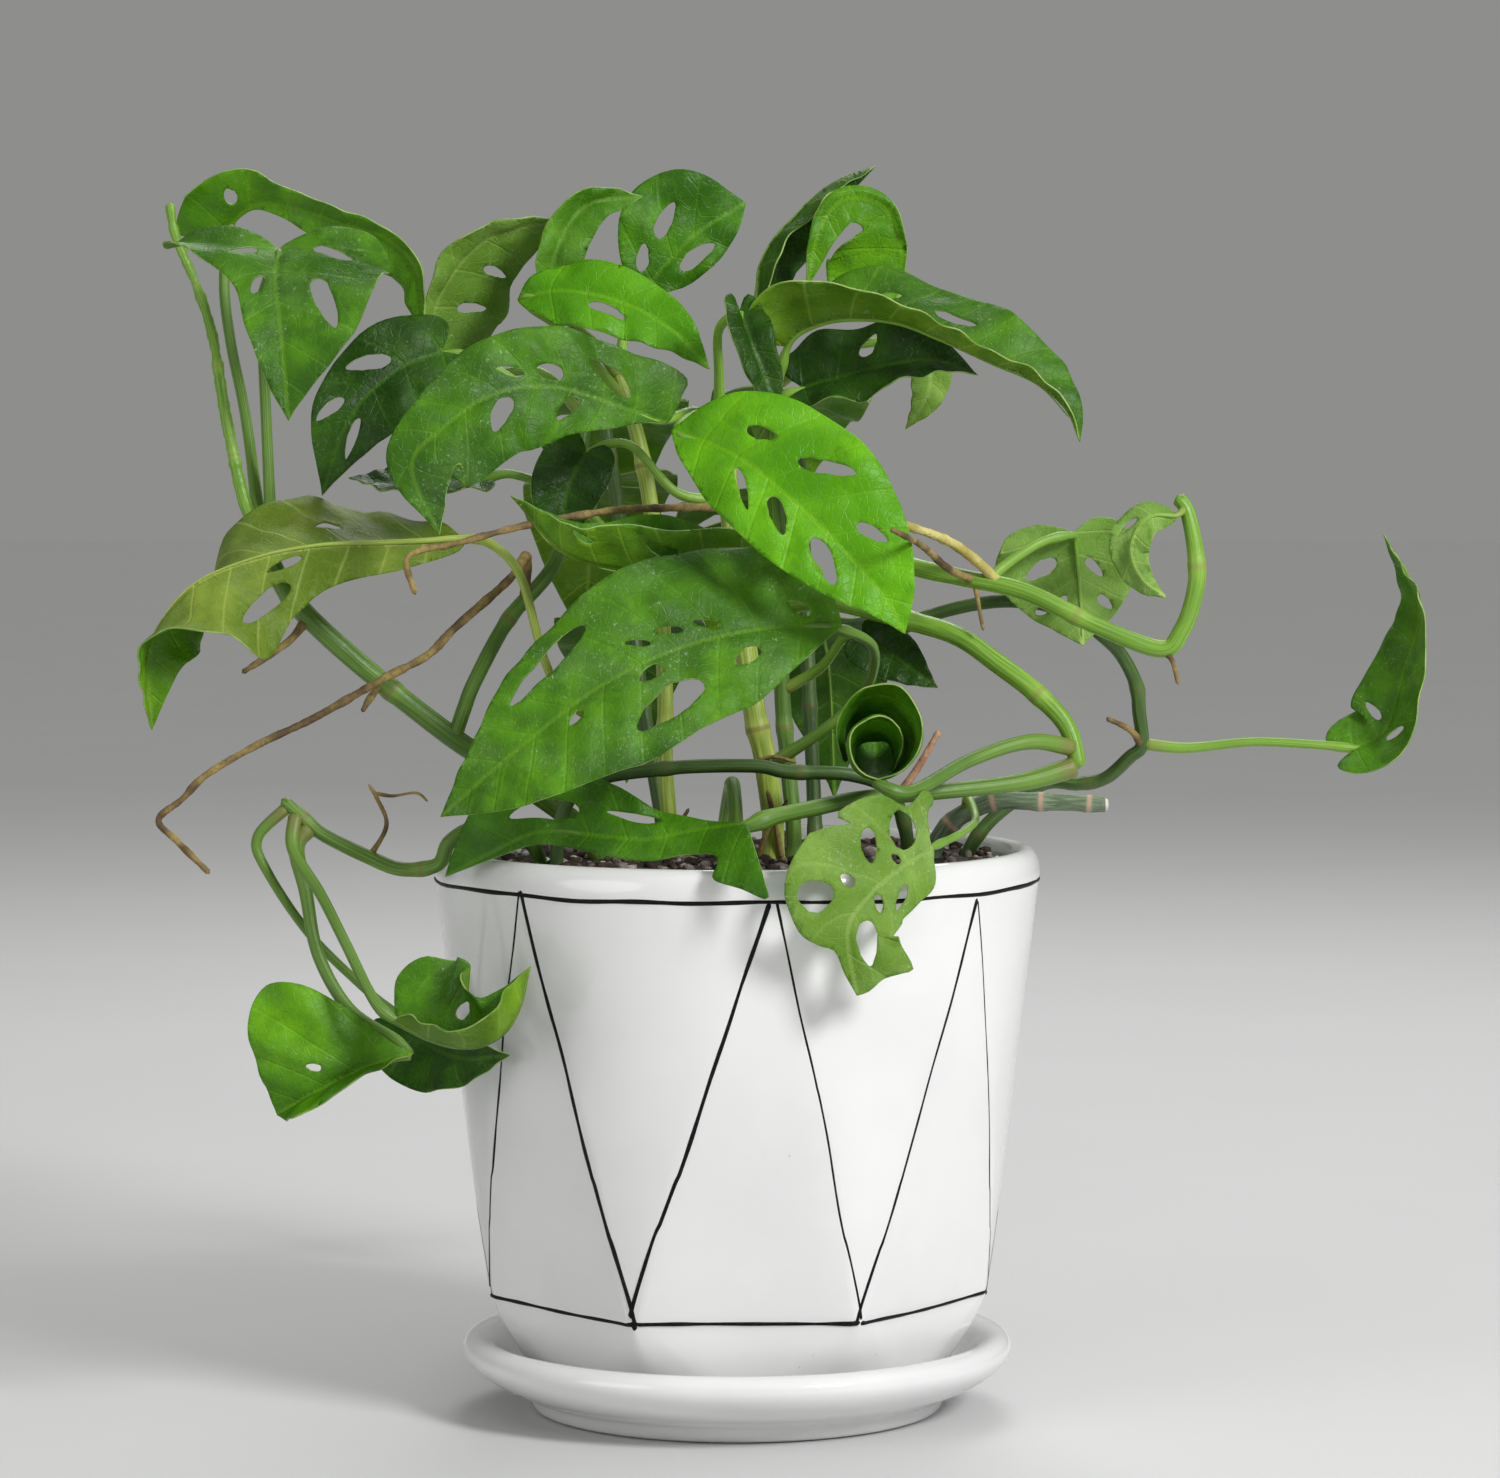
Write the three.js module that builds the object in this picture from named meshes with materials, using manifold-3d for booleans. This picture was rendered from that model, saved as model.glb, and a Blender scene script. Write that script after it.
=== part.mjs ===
// Monstera adansonii in a glazed ceramic pot that stands on its saucer.
// Millimetres, +Z up, front towards -Y. The origin is the middle of the saucer's underside.

import * as THREE from 'three';
import { mergeVertices } from 'three/addons/utils/BufferGeometryUtils.js';
import Module from 'manifold-3d';

const wasm = await Module();
wasm.setup();

// ---------------------------------------------------------------- driving sizes

const CLEARANCE = 0.3; // gap between pieces that touch
const MERGE_DISTANCE = 1e-3; // points closer than this are one
const NEARLY_ZERO = 1e-6;
const STATION_DISTANCE = 1725; // a viewer stands this far in front of the pot's axis
const STATION_HEIGHT = 326; // and looks from this height

const SIDES = 7; // flat triangles round the pot
const SIDE_ANGLE = (2 * Math.PI) / SIDES;
const FIRST_CORNER = -0.412; // angle of one lower corner, from the front towards +X
const LIP_RADIUS = 101;
const LIP_HEIGHT = 188.6;
const SAUCER_RADIUS = 91.7;
const SAUCER_FLOOR = 12;
const POT_FOOT = SAUCER_FLOOR + CLEARANCE;
const DRAIN_RADIUS = 5;
const SOIL_LEVEL = 184;
const POT_FLOOR = 21;
const PATTERN_FOOT = 41; // height of the pot's seven lower corners
const PATTERN_TOP = 178; // and of the points between them, under the lip
// The pot is shaped by hand: each upper point sits this share of SIDE_ANGLE off the middle.
const POINT_SHIFTS = [0.115, 0.084, -0.064, 0.03, -0.05, 0.04, -0.02];

const BLADE_THICKNESS = 0.7;
const STALK_RADIUS = 1.5; // leaf stalks, unless a leaf says otherwise
const STALK_SINK = 0.05; // share of the midrib that a stalk runs into its blade

// ---------------------------------------------------------------- placing

// A point is given as the viewer in front sees it: across and up on the plane of the pot's
// axis, with its real depth, which is negative towards the viewer.
function seen([across, up, depth]) {
  const spread = (STATION_DISTANCE + depth) / STATION_DISTANCE;
  const height = STATION_HEIGHT + (up - STATION_HEIGHT) * spread;
  return new THREE.Vector3(across * spread, depth, height);
}

const route = (points) => new THREE.CatmullRomCurve3(points, false, 'catmullrom', 0.5);

// ---------------------------------------------------------------- solids

// A closed geometry as a manifold, with its shared vertices merged.
function solid(geometry) {
  geometry.deleteAttribute('normal');
  geometry.deleteAttribute('uv');
  const merged = mergeVertices(geometry, MERGE_DISTANCE);
  const corners = merged.index.array;
  const kept = [];
  for (let i = 0; i < corners.length; i += 3) {
    const [a, b, c] = corners.slice(i, i + 3);
    if (a !== b && b !== c && c !== a) kept.push(a, b, c);
  }
  const vertProperties = new Float32Array(merged.attributes.position.array);
  const body = new wasm.Mesh({ numProp: 3, vertProperties, triVerts: new Uint32Array(kept) });
  body.merge();
  return new wasm.Manifold(body);
}

// The biggest piece of a manifold, so that no loose scrap of a cut stays.
function largest(body) {
  const pieces = body.decompose();
  return pieces.reduce((best, piece) => (piece.volume() > best.volume() ? piece : best));
}

function geometryOf(body) {
  const { vertProperties, triVerts } = body.getMesh();
  const geometry = new THREE.BufferGeometry();
  geometry.setAttribute('position', new THREE.BufferAttribute(vertProperties, 3));
  geometry.setIndex(new THREE.BufferAttribute(triVerts, 1));
  geometry.computeVertexNormals();
  return geometry;
}

// A rod of round section along a list of points.
function rod(points, radius, sides, steps) {
  const section = new THREE.Shape();
  for (let i = 0; i < sides; i += 1) {
    const angle = (2 * Math.PI * i) / sides;
    const [x, y] = [radius * Math.cos(angle), radius * Math.sin(angle)];
    if (i === 0) section.moveTo(x, y);
    else section.lineTo(x, y);
  }
  return solid(new THREE.ExtrudeGeometry(section, { steps, extrudePath: route(points) }));
}

// ---------------------------------------------------------------- pot, saucer and soil

// Each ring of the pot has four points at every lower corner. A spread of 0 keeps them on the
// corner, so the ring is seven-sided; 1 opens them until neighbours meet, and ROUND is a circle.
const CORNER_POINTS = 4;
const ROUND = (CORNER_POINTS - 1) / CORNER_POINTS;
const POT_RINGS = [
  [DRAIN_RADIUS, POT_FOOT, ROUND],
  [66, POT_FOOT, ROUND],
  [69.5, POT_FOOT + 3, ROUND],
  [76.5, 25, 0.66],
  [82, 35, 0.36],
  [84.3, PATTERN_FOOT, 0],
  [LIP_RADIUS - 0.3, PATTERN_TOP, 1],
  [LIP_RADIUS, LIP_HEIGHT - 7, ROUND],
  [LIP_RADIUS - 1.2, LIP_HEIGHT - 2.6, ROUND],
  [LIP_RADIUS - 3.7, LIP_HEIGHT, ROUND],
  [LIP_RADIUS - 6.5, LIP_HEIGHT - 0.8, ROUND],
  [LIP_RADIUS - 8.2, LIP_HEIGHT - 4, ROUND],
  [LIP_RADIUS - 9, 172, ROUND],
  [66, POT_FLOOR + 4, ROUND],
  [62, POT_FLOOR, ROUND],
  [DRAIN_RADIUS, POT_FLOOR, ROUND],
];

function potBody() {
  const count = SIDES * CORNER_POINTS;
  const positions = [];
  for (const [radius, height, spread] of POT_RINGS) {
    for (let i = 0; i < count; i += 1) {
      const corner = Math.floor(i / CORNER_POINTS);
      const share = (i % CORNER_POINTS) / (CORNER_POINTS - 1) - 0.5;
      const [before, after] = [POINT_SHIFTS[corner], POINT_SHIFTS[(corner + 1) % SIDES]];
      const shift = height > PATTERN_FOOT ? before * (0.5 - share) + after * (0.5 + share) : 0;
      const angle = FIRST_CORNER + (corner + share * spread + shift) * SIDE_ANGLE;
      positions.push(radius * Math.sin(angle), -radius * Math.cos(angle), height);
    }
  }
  const index = [];
  for (let ring = 0; ring < POT_RINGS.length; ring += 1) {
    const low = ring * count;
    const high = ((ring + 1) % POT_RINGS.length) * count;
    for (let i = 0; i < count; i += 1) {
      const next = (i + 1) % count;
      index.push(low + i, low + next, high + next, low + i, high + next, high + i);
    }
  }
  const geometry = new THREE.BufferGeometry();
  geometry.setAttribute('position', new THREE.Float32BufferAttribute(positions, 3));
  geometry.setIndex(index);
  return solid(geometry);
}

// A profile of [radius, height] turned about the vertical axis.
function turned(profile, segments) {
  const points = profile.map(([radius, height]) => new THREE.Vector2(radius, height));
  const geometry = new THREE.LatheGeometry(points, segments);
  geometry.rotateX(Math.PI / 2);
  return solid(geometry);
}

const SAUCER_SEGMENTS = 24;
const SAUCER_PROFILE = [
  [0, 0],
  [68.5, 0],
  [70, 5],
  [79, 9],
  [87.5, 14],
  [SAUCER_RADIUS, 19.5],
  [SAUCER_RADIUS - 0.7, 23.2],
  [SAUCER_RADIUS - 4, 25.4],
  [SAUCER_RADIUS - 8.5, 24.4],
  [SAUCER_RADIUS - 12, 20],
  [75.5, 15],
  [71, SAUCER_FLOOR],
  [0, SAUCER_FLOOR],
];

// The soil fills the pot, and its top is lumpy.
const SOIL_SEGMENTS = 20;
const SOIL_PROFILE = [
  [0, POT_FLOOR + CLEARANCE],
  [61, POT_FLOOR + CLEARANCE],
  [64.5, POT_FLOOR + 4],
  [90.6, 172],
  [91.3, SOIL_LEVEL - 3],
  [76, SOIL_LEVEL],
  [50, SOIL_LEVEL + 1.5],
  [24, SOIL_LEVEL],
  [0, SOIL_LEVEL + 1],
];

// ---------------------------------------------------------------- vines

// Each vine has a radius and a list of points as the viewer sees them, from its root to its tip.
const VINES = {
  vine_left: {
    radius: 3.5,
    points: [[-38, 145, 2], [-46, 186, 0], [-70, 208, -8], [-94, 224, -14], [-122, 246, -16],
      [-143, 265, -18], [-152, 277, -18], [-160, 296, -16]],
  },
  vine_left_inner: {
    radius: 2.5,
    from: ['vine_left', 0.43],
    points: [[-91, 234, -16], [-87, 244, -16], [-76, 264, -14], [-61, 282, -8], [-54, 305, 2],
      [-50, 334, 10]],
  },
  stem_centre: {
    radius: 3.8,
    points: [[8, 140, -8], [12, 188, -10], [9.7, 215, -12], [6, 232, -12], [2, 262, -8],
      [-2, 300, -6], [-6, 330, -4]],
  },
  stem_centre_left: {
    radius: 2.7,
    points: [[-20, 140, 0], [-22, 188, 0], [-24, 215, 2], [-24, 240, 4], [-26, 280, 8],
      [-32, 320, 12], [-40, 346, 14]],
  },
  stem_centre_right: {
    radius: 2.7,
    points: [[18, 140, 4], [19, 188, 4], [17, 215, 6], [15, 240, 8], [14, 280, 8],
      [12, 320, 6], [13, 348, 4]],
  },
  vine_lying: {
    radius: 2.3,
    points: [[-58, 150, -34], [-60, 188, -36], [-52, 208, -34], [-25, 214, -32], [5, 215, -32],
      [17, 213, -32], [38, 212, -30], [51, 206, -26], [57, 188, -20], [57, 150, -16]],
  },
  vine_arching: {
    radius: 3.3,
    from: ['stem_centre_right', 0.62],
    points: [[31, 270, -6], [59, 263, -22], [74, 258, -28], [87, 249, -33], [100, 239, -38],
      [110, 228, -42], [114, 214, -44]],
  },
  vine_low_loop: {
    radius: 2.3,
    points: [[70, 150, 14], [78, 188, 14], [100, 208, 16], [114, 209, 14], [123, 211, 10],
      [131, 218, 4], [135, 222, 2], [134, 233, 0], [133, 242, -2], [128, 252, -6],
      [121, 259, -10], [110, 267, -8], [88, 270, -4], [64, 265, 2], [48, 256, 10]],
  },
  vine_bright: {
    radius: 2.9,
    from: ['stem_centre_right', 0.8],
    points: [[35, 291, -12], [57, 282, -26], [74, 278, -32], [96, 273, -36], [119, 262, -40],
      [141, 254, -42], [148, 260, -43], [152, 271, -43], [153, 282, -43], [150, 299, -42],
      [146, 305, -41]],
  },
  vine_cut: {
    radius: 3.1,
    points: [[60, 150, -6], [66, 188, -8], [82, 202, -10], [102, 203, -12], [124, 202, -14]],
  },
  vine_trailing: {
    radius: 2.4,
    points: [[-64, 150, -24], [-66, 184, -28], [-76, 193, -36], [-87, 194.5, -43],
      [-96, 189.5, -44], [-100, 182, -42], [-112, 180.5, -38], [-124, 185, -36],
      [-138, 192, -36], [-144, 197, -36], [-152, 204, -36]],
  },
  vine_back_left: {
    radius: 2.5,
    points: [[-22, 150, 24], [-24, 188, 30], [-32, 240, 44], [-38, 290, 56], [-44, 330, 60]],
  },
  vine_back_right: {
    radius: 2.5,
    points: [[24, 150, 26], [26, 188, 34], [24, 240, 50], [22, 290, 58], [20, 330, 58]],
  },
  vine_back_trailing: {
    radius: 2.5,
    points: [[0, 150, 44], [0, 186, 52], [-1, 206, 82], [-2, 208, 100], [-4, 196, 112],
      [-6, 176, 120], [-6, 160, 126]],
  },
};
const VINE_SIDES = 6;
const SPUR_SIDES = 4;
const VINE_STEPS = 1.4; // steps along a vine for each of its points

// Short pieces that grow on a vine: dead roots, cut stubs and the shoot in its sheath.
const SPURS = {
  vine_left: [
    { radius: 2.2, points: [[-158, 290, -16], [-164, 304, -18], [-170, 333, -14], [-174, 358, -8],
      [-179, 374, -4], [-186, 391, -4], [-188, 402, -4]] },
    { radius: 1.5, points: [[-143, 264, -18], [-150, 256, -24], [-165, 246, -30]] },
    { radius: 1.4, points: [[-118, 243, -16], [-122, 238, -22], [-125, 233, -28]] },
  ],
  vine_lying: [
    { radius: 1.5, points: [[52, 203, -26], [60, 214, -28], [67.5, 227, -28]] },
  ],
  vine_low_loop: [
    { radius: 1.3, points: [[135, 222, 2], [131, 227, -4], [123, 231, -8]] },
  ],
  vine_bright: [
    { radius: 1, points: [[141, 254, -42], [145, 250, -44], [147, 242, -45]] },
    { radius: 1.4, points: [[78, 277, -33], [70, 281, -56], [62, 288, -78], [57, 291, -101],
      [51, 294, -108]] },
    { radius: 1.5, points: [[88, 275, -34], [80, 283, -38], [70, 290, -44], [52, 296, -48]] },
  ],
  vine_trailing: [
    { radius: 0.9, points: [[-123, 184, -36], [-117, 195, -34], [-120, 204, -34],
      [-123, 209, -34]] },
  ],
};

// ---------------------------------------------------------------- air roots

const ROOT_SIDES = 5;
const ROOTS = {
  root_long: {
    radius: 1.6,
    from: ['vine_left_inner', 0.56],
    points: [[-70, 285, -22], [-76, 277, -27], [-94, 261, -30], [-103, 252, -32],
      [-118, 244, -34], [-141, 231, -38], [-160, 222, -42], [-177, 212, -46], [-185, 204, -48],
      [-193, 197, -50], [-187, 190, -52], [-176, 179, -54]],
    steps: 20,
  },
  root_upper: {
    radius: 1.5,
    from: ['stem_centre', 0.84],
    points: [[-22, 301, -26], [-42, 300, -44], [-71, 295, -60], [-94, 289, -70],
      [-105, 287, -76], [-110, 283, -80], [-107, 272, -80]],
    steps: 12,
  },
};

// ---------------------------------------------------------------- leaves

// A half of a leaf's outline from base to tip, as shares of its length and half-width: with a
// short lobe behind the stalk, without any, with one broad lobe and narrow from there on, widest
// past the middle, with a long lobe that hangs down, or worn away in bays (torn and ragged).
const OUTLINES = {
  heart: [
    [0, 0], [-0.055, 0.2], [-0.09, 0.48], [-0.01, 0.84], [0.22, 1], [0.46, 0.92],
    [0.68, 0.64], [0.84, 0.32], [0.94, 0.11], [1, 0],
  ],
  oval: [
    [0, 0], [0.02, 0.16], [0.07, 0.44], [0.2, 0.84], [0.38, 1], [0.57, 0.93],
    [0.75, 0.68], [0.88, 0.36], [0.95, 0.15], [1, 0],
  ],
  lobed: [
    [0, 0], [-0.08, 0.22], [-0.12, 0.6], [-0.02, 0.95], [0.12, 1], [0.25, 0.72],
    [0.38, 0.38], [0.62, 0.3], [0.85, 0.16], [1, 0],
  ],
  late: [
    [0, 0], [0.03, 0.13], [0.14, 0.26], [0.3, 0.42], [0.42, 0.7], [0.54, 1],
    [0.67, 0.92], [0.8, 0.5], [0.91, 0.2], [1, 0],
  ],
  hung: [
    [0, 0], [-0.03, 0.2], [-0.07, 0.5], [-0.1, 0.8], [-0.11, 1], [-0.03, 0.86],
    [0.07, 0.68], [0.06, 0.5], [0.11, 0.34], [0.34, 0.24], [0.68, 0.13], [1, 0],
  ],
  torn: [
    [0, 0], [0.03, 0.1], [-0.02, 0.42], [-0.07, 0.47], [-0.03, 0.66], [0.12, 0.6],
    [0.22, 0.86], [0.31, 0.95], [0.4, 0.95], [0.38, 0.77], [0.43, 0.88], [0.49, 0.98],
    [0.58, 0.94], [0.64, 0.84], [0.68, 0.67], [0.72, 0.5], [0.75, 0.31], [0.78, 0.15],
    [0.89, 0.09], [1, 0],
  ],
  ragged: [
    [0, 0], [0.04, 0.19], [0.05, 0.34], [0.1, 0.56], [0.26, 0.64], [0.43, 0.66],
    [0.49, 0.71], [0.77, 0.82], [0.93, 0.95], [0.94, 0.8], [0.95, 0.45], [0.99, 0.18], [1, 0],
  ],
};
const MIDRIB_SHARES = [0.17, 0.34, 0.51, 0.68, 0.85];
const INNER_SHARES = [[0.16, 0.5], [0.42, 0.5], [0.68, 0.32]];
const HOLE_CORNERS = 6;
const HOLE_MARGIN = 3; // inner points keep this far from a hole
const WAVES = 2.5; // waves along each half's margin
const STALK_SIDES = 5;
const STALK_STEPS = 1.3; // steps along a stalk for each of its middle points
const VIEWER = new THREE.Vector3(0, -1, 0);
const UP = new THREE.Vector3(0, 0, 1);

// Each leaf: the vine that carries it and where on it (share of its points), the stalk's middle
// points, the midrib from base to tip, the half-widths on the plus and minus side, the roll
// about the midrib at base and tip (0 = upper face to the viewer, positive turns the plus side
// nearer), the fold of each half towards the upper face and its further curl across the half.
// A leaf pointing left has its plus side above, one pointing right below, a hanging one left.
// Holes: share of length, share of half-width (signed), long and short diameter, slant.
// The outlines of the two halves are hearts unless they are named. A full value under 1 moves the
// widest part towards the tip, and a lobe value under 1 shortens the lobes behind the stalk.
// A tighter value winds the curl up towards the leaf's tip.
const LEAVES = {
  leaf_top_left: {
    on: ['vine_left', 0.9], stalk: [[-157, 346, -14], [-158, 368, -16]], radius: 1.8,
    rib: [[-152, 387, -30], [-153, 376, -44], [-151, 356, -54], [-149, 330, -58]],
    widths: [37, 37], outlines: ['lobed', 'heart'], roll: [0, 0], fold: [16, 10], curl: [-24, -20],
    wave: 3, full: [1.3, 1.3],
    holes: [[0.08, 0.3, 10, 5, 60], [0.3, 0.16, 8, 4, 30], [0.1, -0.5, 16, 5, 56],
      [0.45, -0.42, 18, 6, 15]],
  },
  leaf_far_left: {
    on: ['vine_left', 0.97], stalk: [[-163, 330, 0], [-168, 356, 10], [-170, 376, 18]], radius: 1.8,
    rib: [[-169, 393, 23], [-160, 401, 18], [-146, 400, 12], [-131, 395, 6], [-116, 390, 2],
      [-106, 379, -2], [-104, 357, -4]],
    widths: [10, 19], outlines: ['oval', 'lobed'], roll: [-20, -45], fold: [10, 10], curl: [0, 0],
    wave: 1, full: [0.5, 1.35],
    holes: [[0.1, -0.4, 6, 3, 80]],
  },
  leaf_left_long: {
    on: ['stem_centre_left', 0.36],
    stalk: [[-55, 235, -18], [-64, 250, -30], [-72, 278, -36], [-82, 289, -40]],
    rib: [[-90, 290, -42], [-112, 289, -50], [-140, 288, -58], [-163, 283, -64],
      [-183, 273, -68], [-196, 253, -70], [-195, 227, -66]],
    widths: [30, 34], outlines: ['late', 'oval'], roll: [138, 140, 145, 140, 95, 45, 20],
    fold: [38, 28], curl: [0, 0], wave: 3, full: [1, 1.3],
    holes: [[0.3, -0.42, 9, 4, -10], [0.43, 0.13, 13, 2.6, 10], [0.5, 0.48, 23, 6, 17]],
  },
  leaf_left_dark: {
    on: ['vine_left_inner', 0.86], stalk: [[-66, 336, -2], [-86, 350, -8]],
    rib: [[-98, 353, -11], [-114, 346, -16], [-129, 330, -22], [-138, 305, -22]],
    widths: [17, 18], roll: [-15, -5], fold: [10, 10], curl: [-15, -15], wave: 1.5,
    holes: [[0.33, 0.45, 14, 5, 35], [0.6, 0.42, 10, 3.5, 25], [0.68, -0.2, 15, 3, 5]],
  },
  leaf_left_thin: {
    on: ['stem_centre_left', 0.62], stalk: [[-50, 300, -4], [-74, 312, -10]],
    rib: [[-86, 310, -12], [-100, 310, -16], [-114, 309, -18], [-129, 311, -18]],
    widths: [16, 16], roll: [-72, -68], fold: [8, 8], curl: [0, 0], wave: 1, holes: [],
  },
  leaf_left_arch: {
    on: ['vine_left_inner', 0.98], stalk: [[-66, 346, 12], [-92, 344, 12]],
    rib: [[-104, 354, 10], [-97, 374, 10], [-82, 390, 12], [-56, 397, 14]],
    widths: [27, 9], outlines: ['heart', 'oval'], roll: [-48, -40], fold: [8, 12], curl: [0, 0],
    wave: 1.5,
    holes: [[0.28, 0.5, 13, 5, 55], [0.55, 0.45, 11, 4, 55]],
  },
  leaf_top_folded: {
    on: ['stem_centre_left', 0.99], stalk: [[-48, 356, 8]],
    rib: [[-63, 368, 4], [-60, 386, 4], [-50, 401, 6], [-31, 404, 9]],
    widths: [10, 8], outlines: ['oval', 'oval'], roll: [-20, -10], fold: [35, 25], curl: [0, 0],
    wave: 1, holes: [],
  },
  leaf_top_holed: {
    on: ['stem_centre_left', 0.97], stalk: [[-38, 356, 22]],
    rib: [[-34, 368, 26], [-25, 380, 26], [-13, 392, 28], [3, 402, 32]],
    widths: [12, 25], outlines: ['oval', 'oval'], roll: [0, 0], fold: [12, 8], curl: [-10, -10],
    wave: 2.5, full: [0.7, 0.7],
    holes: [[0.52, -0.42, 12, 5, 25], [0.52, 0.48, 16, 5, 5], [0.27, -0.3, 9, 4, 35]],
  },
  leaf_top_bright: {
    on: ['stem_centre_left', 0.93], stalk: [[-56, 358, 4]],
    rib: [[-73, 370, -4], [-58, 373, -10], [-38, 369, -14], [-22, 360, -18], [-9, 347, -20]],
    widths: [14, 12], outlines: ['oval', 'oval'], roll: [30, 20], fold: [10, 10],
    curl: [-10, -10], wave: 2,
    holes: [[0.46, 0.36, 15, 4, 5]],
  },
  leaf_middle_holed: {
    on: ['stem_centre', 0.98], stalk: [[-14, 333, -24]],
    rib: [[-23, 329, -40], [-40, 335, -50], [-60, 341, -60], [-80, 339, -68], [-97, 328, -74],
      [-108, 315, -76], [-99, 292, -78]],
    widths: [20, 22], outlines: ['heart', 'oval'], lobe: 0.2, roll: [-18, -12], fold: [8, 8],
    curl: [-20, -20], wave: 3, full: [1, 0.62],
    holes: [[0.2, 0.4, 19, 6, 24], [0.36, 0.24, 9, 5, 10], [0.46, 0.28, 9, 3.2, 20],
      [0.53, -0.34, 16, 6, 32], [0.31, -0.3, 12, 4.5, 45]],
  },
  leaf_round_dark: {
    on: ['stem_centre', 0.85], stalk: [[-20, 306, -12], [-36, 322, -12]],
    rib: [[-50, 320, -14], [-56, 308, -20], [-58, 294, -24], [-56, 284, -24]],
    widths: [13, 12], roll: [0, 0], fold: [14, 14], curl: [0, 0], wave: 1, holes: [],
  },
  leaf_lime: {
    on: ['stem_centre', 0.95], stalk: [[-8, 332, -26], [-16, 331, -46]],
    rib: [[-22, 327, -62], [0, 318, -76], [21, 301, -86], [38, 284, -92], [49, 271, -95],
      [56, 259, -96]],
    widths: [20, 29], outlines: ['oval', 'oval'], roll: [16, 10], fold: [8, 8], curl: [-14, -14],
    wave: 2, full: [0.9, 0.9],
    holes: [[0.27, -0.37, 9, 4, 24], [0.34, 0.4, 17, 3, 33], [0.48, 0.36, 14, 5, 30],
      [0.48, -0.52, 19, 4.7, 28], [0.68, 0.36, 17, 6, 18], [0.71, -0.36, 11, 4.2, 18]],
  },
  leaf_trough: {
    on: ['stem_centre', 0.8], stalk: [[14, 288, -16], [27, 280, -20]],
    rib: [[23, 275, -26], [0, 276, -40], [-28, 279, -52], [-56, 285, -60], [-75, 305, -60]],
    widths: [19, 20], outlines: ['oval', 'oval'], roll: [-50, -50], fold: [30, 96],
    curl: [0, 0], wave: 2,
    holes: [[0.5, -0.5, 12, 5, 15], [0.76, -0.45, 10, 2.5, 10]],
  },
  leaf_largest: {
    on: ['stem_centre', 0.33], stalk: [[30, 228, -22], [43, 241, -26], [45, 255, -52]], radius: 1.7,
    rib: [[35, 262, -74], [10, 261, -80], [-20, 254, -88], [-48, 240, -96], [-76, 218, -99],
      [-99, 198, -94]],
    widths: [33, 31], outlines: ['oval', 'oval'], roll: [-30, -26], fold: [7, 7],
    curl: [-14, -10], wave: 3, full: [1.35, 0.85],
    holes: [[0.29, 0.16, 9, 3, 25], [0.37, 0.21, 9, 2.5, 23], [0.44, 0.2, 8, 2.3, 28],
      [0.45, -0.16, 9, 4.8, 8], [0.45, -0.57, 29, 10, 8], [0.23, -0.3, 11, 4.7, 26],
      [0.09, 0.18, 8, 3.9, 36], [0.64, -0.15, 6, 3.2, 16], [0.62, 0.5, 34, 6, -14]],
  },
  leaf_rolled: {
    on: ['vine_arching', 0.93], radius: 2.2,
    stalk: [[97, 223, -54], [78, 217, -66], [62, 208, -84], [54, 206, -91]],
    rib: [[47, 211, -91], [46, 210.5, -76], [46, 214, -62], [46, 224, -54]],
    widths: [60, 42], roll: [0, 0], fold: [0, 0], curl: [230, 240], tighter: 0.9, wave: 0,
    face: UP, holes: [],
  },
  leaf_inner_dark: {
    on: ['stem_centre_right', 0.5], stalk: [[28, 248, 4], [36, 258, -4]],
    rib: [[42, 258, -8], [52, 252, -14], [60, 246, -18], [67, 241, -20]],
    widths: [11, 9], roll: [15, 10], fold: [10, 10], curl: [0, 0], wave: 0.8, holes: [],
  },
  leaf_far_right: {
    on: ['vine_low_loop', 0.432],
    stalk: [[150, 221, 0], [172, 223, -4], [194, 222, -8]],
    rib: [[206, 221, -10], [216, 227, -12], [222, 246, -12], [227, 268, -8], [215, 292, -2]],
    widths: [17, 15], roll: [50, 78], fold: [16, 16], curl: [0, 0], wave: 1.2,
    holes: [[0.16, 0.45, 8, 3.5, 55], [0.2, -0.45, 8, 3.5, 55]],
  },
  leaf_right_pale: {
    on: ['vine_bright', 0.34], stalk: [[85, 278, -27], [100, 289, -21]],
    rib: [[112, 293, -14], [113, 284, -12], [114, 271, -12], [115, 255, -16]],
    widths: [19, 27], roll: [180, 180], fold: [8, 8], curl: [-10, -10], wave: 1.5, full: [0.9, 0.9],
    holes: [[0.31, -0.45, 12, 5, 62], [0.33, 0.3, 8, 3, 40], [0.66, -0.47, 5, 3, 65],
      [0.6, -0.22, 5, 2.4, 40], [0.62, 0.45, 6, 3, 45]],
  },
  leaf_vine_tip: {
    on: ['vine_bright', 0.93], stalk: [], radius: 1,
    rib: [[147, 298, -45], [136, 297, -47], [131, 287, -48], [135, 277, -49], [143, 271, -48]],
    widths: [6, 8], outlines: ['oval', 'oval'], roll: [150, 165], fold: [12, 12], curl: [0, 0],
    wave: 0.8,
    holes: [[0.36, -0.5, 6, 2.4, 20]],
  },
  leaf_top_upright: {
    on: ['stem_centre_right', 0.97], stalk: [[8, 356, 8]],
    rib: [[7, 368, 12], [9, 384, 14], [19, 397, 16], [31, 408, 18], [46, 414, 20]],
    widths: [13, 9], outlines: ['oval', 'oval'], roll: [-20, -20], fold: [14, 100], curl: [0, 0],
    wave: 1.5, full: [1.2, 1.2], holes: [],
  },
  leaf_top_open: {
    on: ['stem_centre_right', 0.99], stalk: [[24, 352, 6], [47, 361, 10]],
    rib: [[55, 374, 10], [54, 389, 8], [48, 401, 6], [35, 403, 4], [27, 392, 3], [23, 374, 2]],
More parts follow.
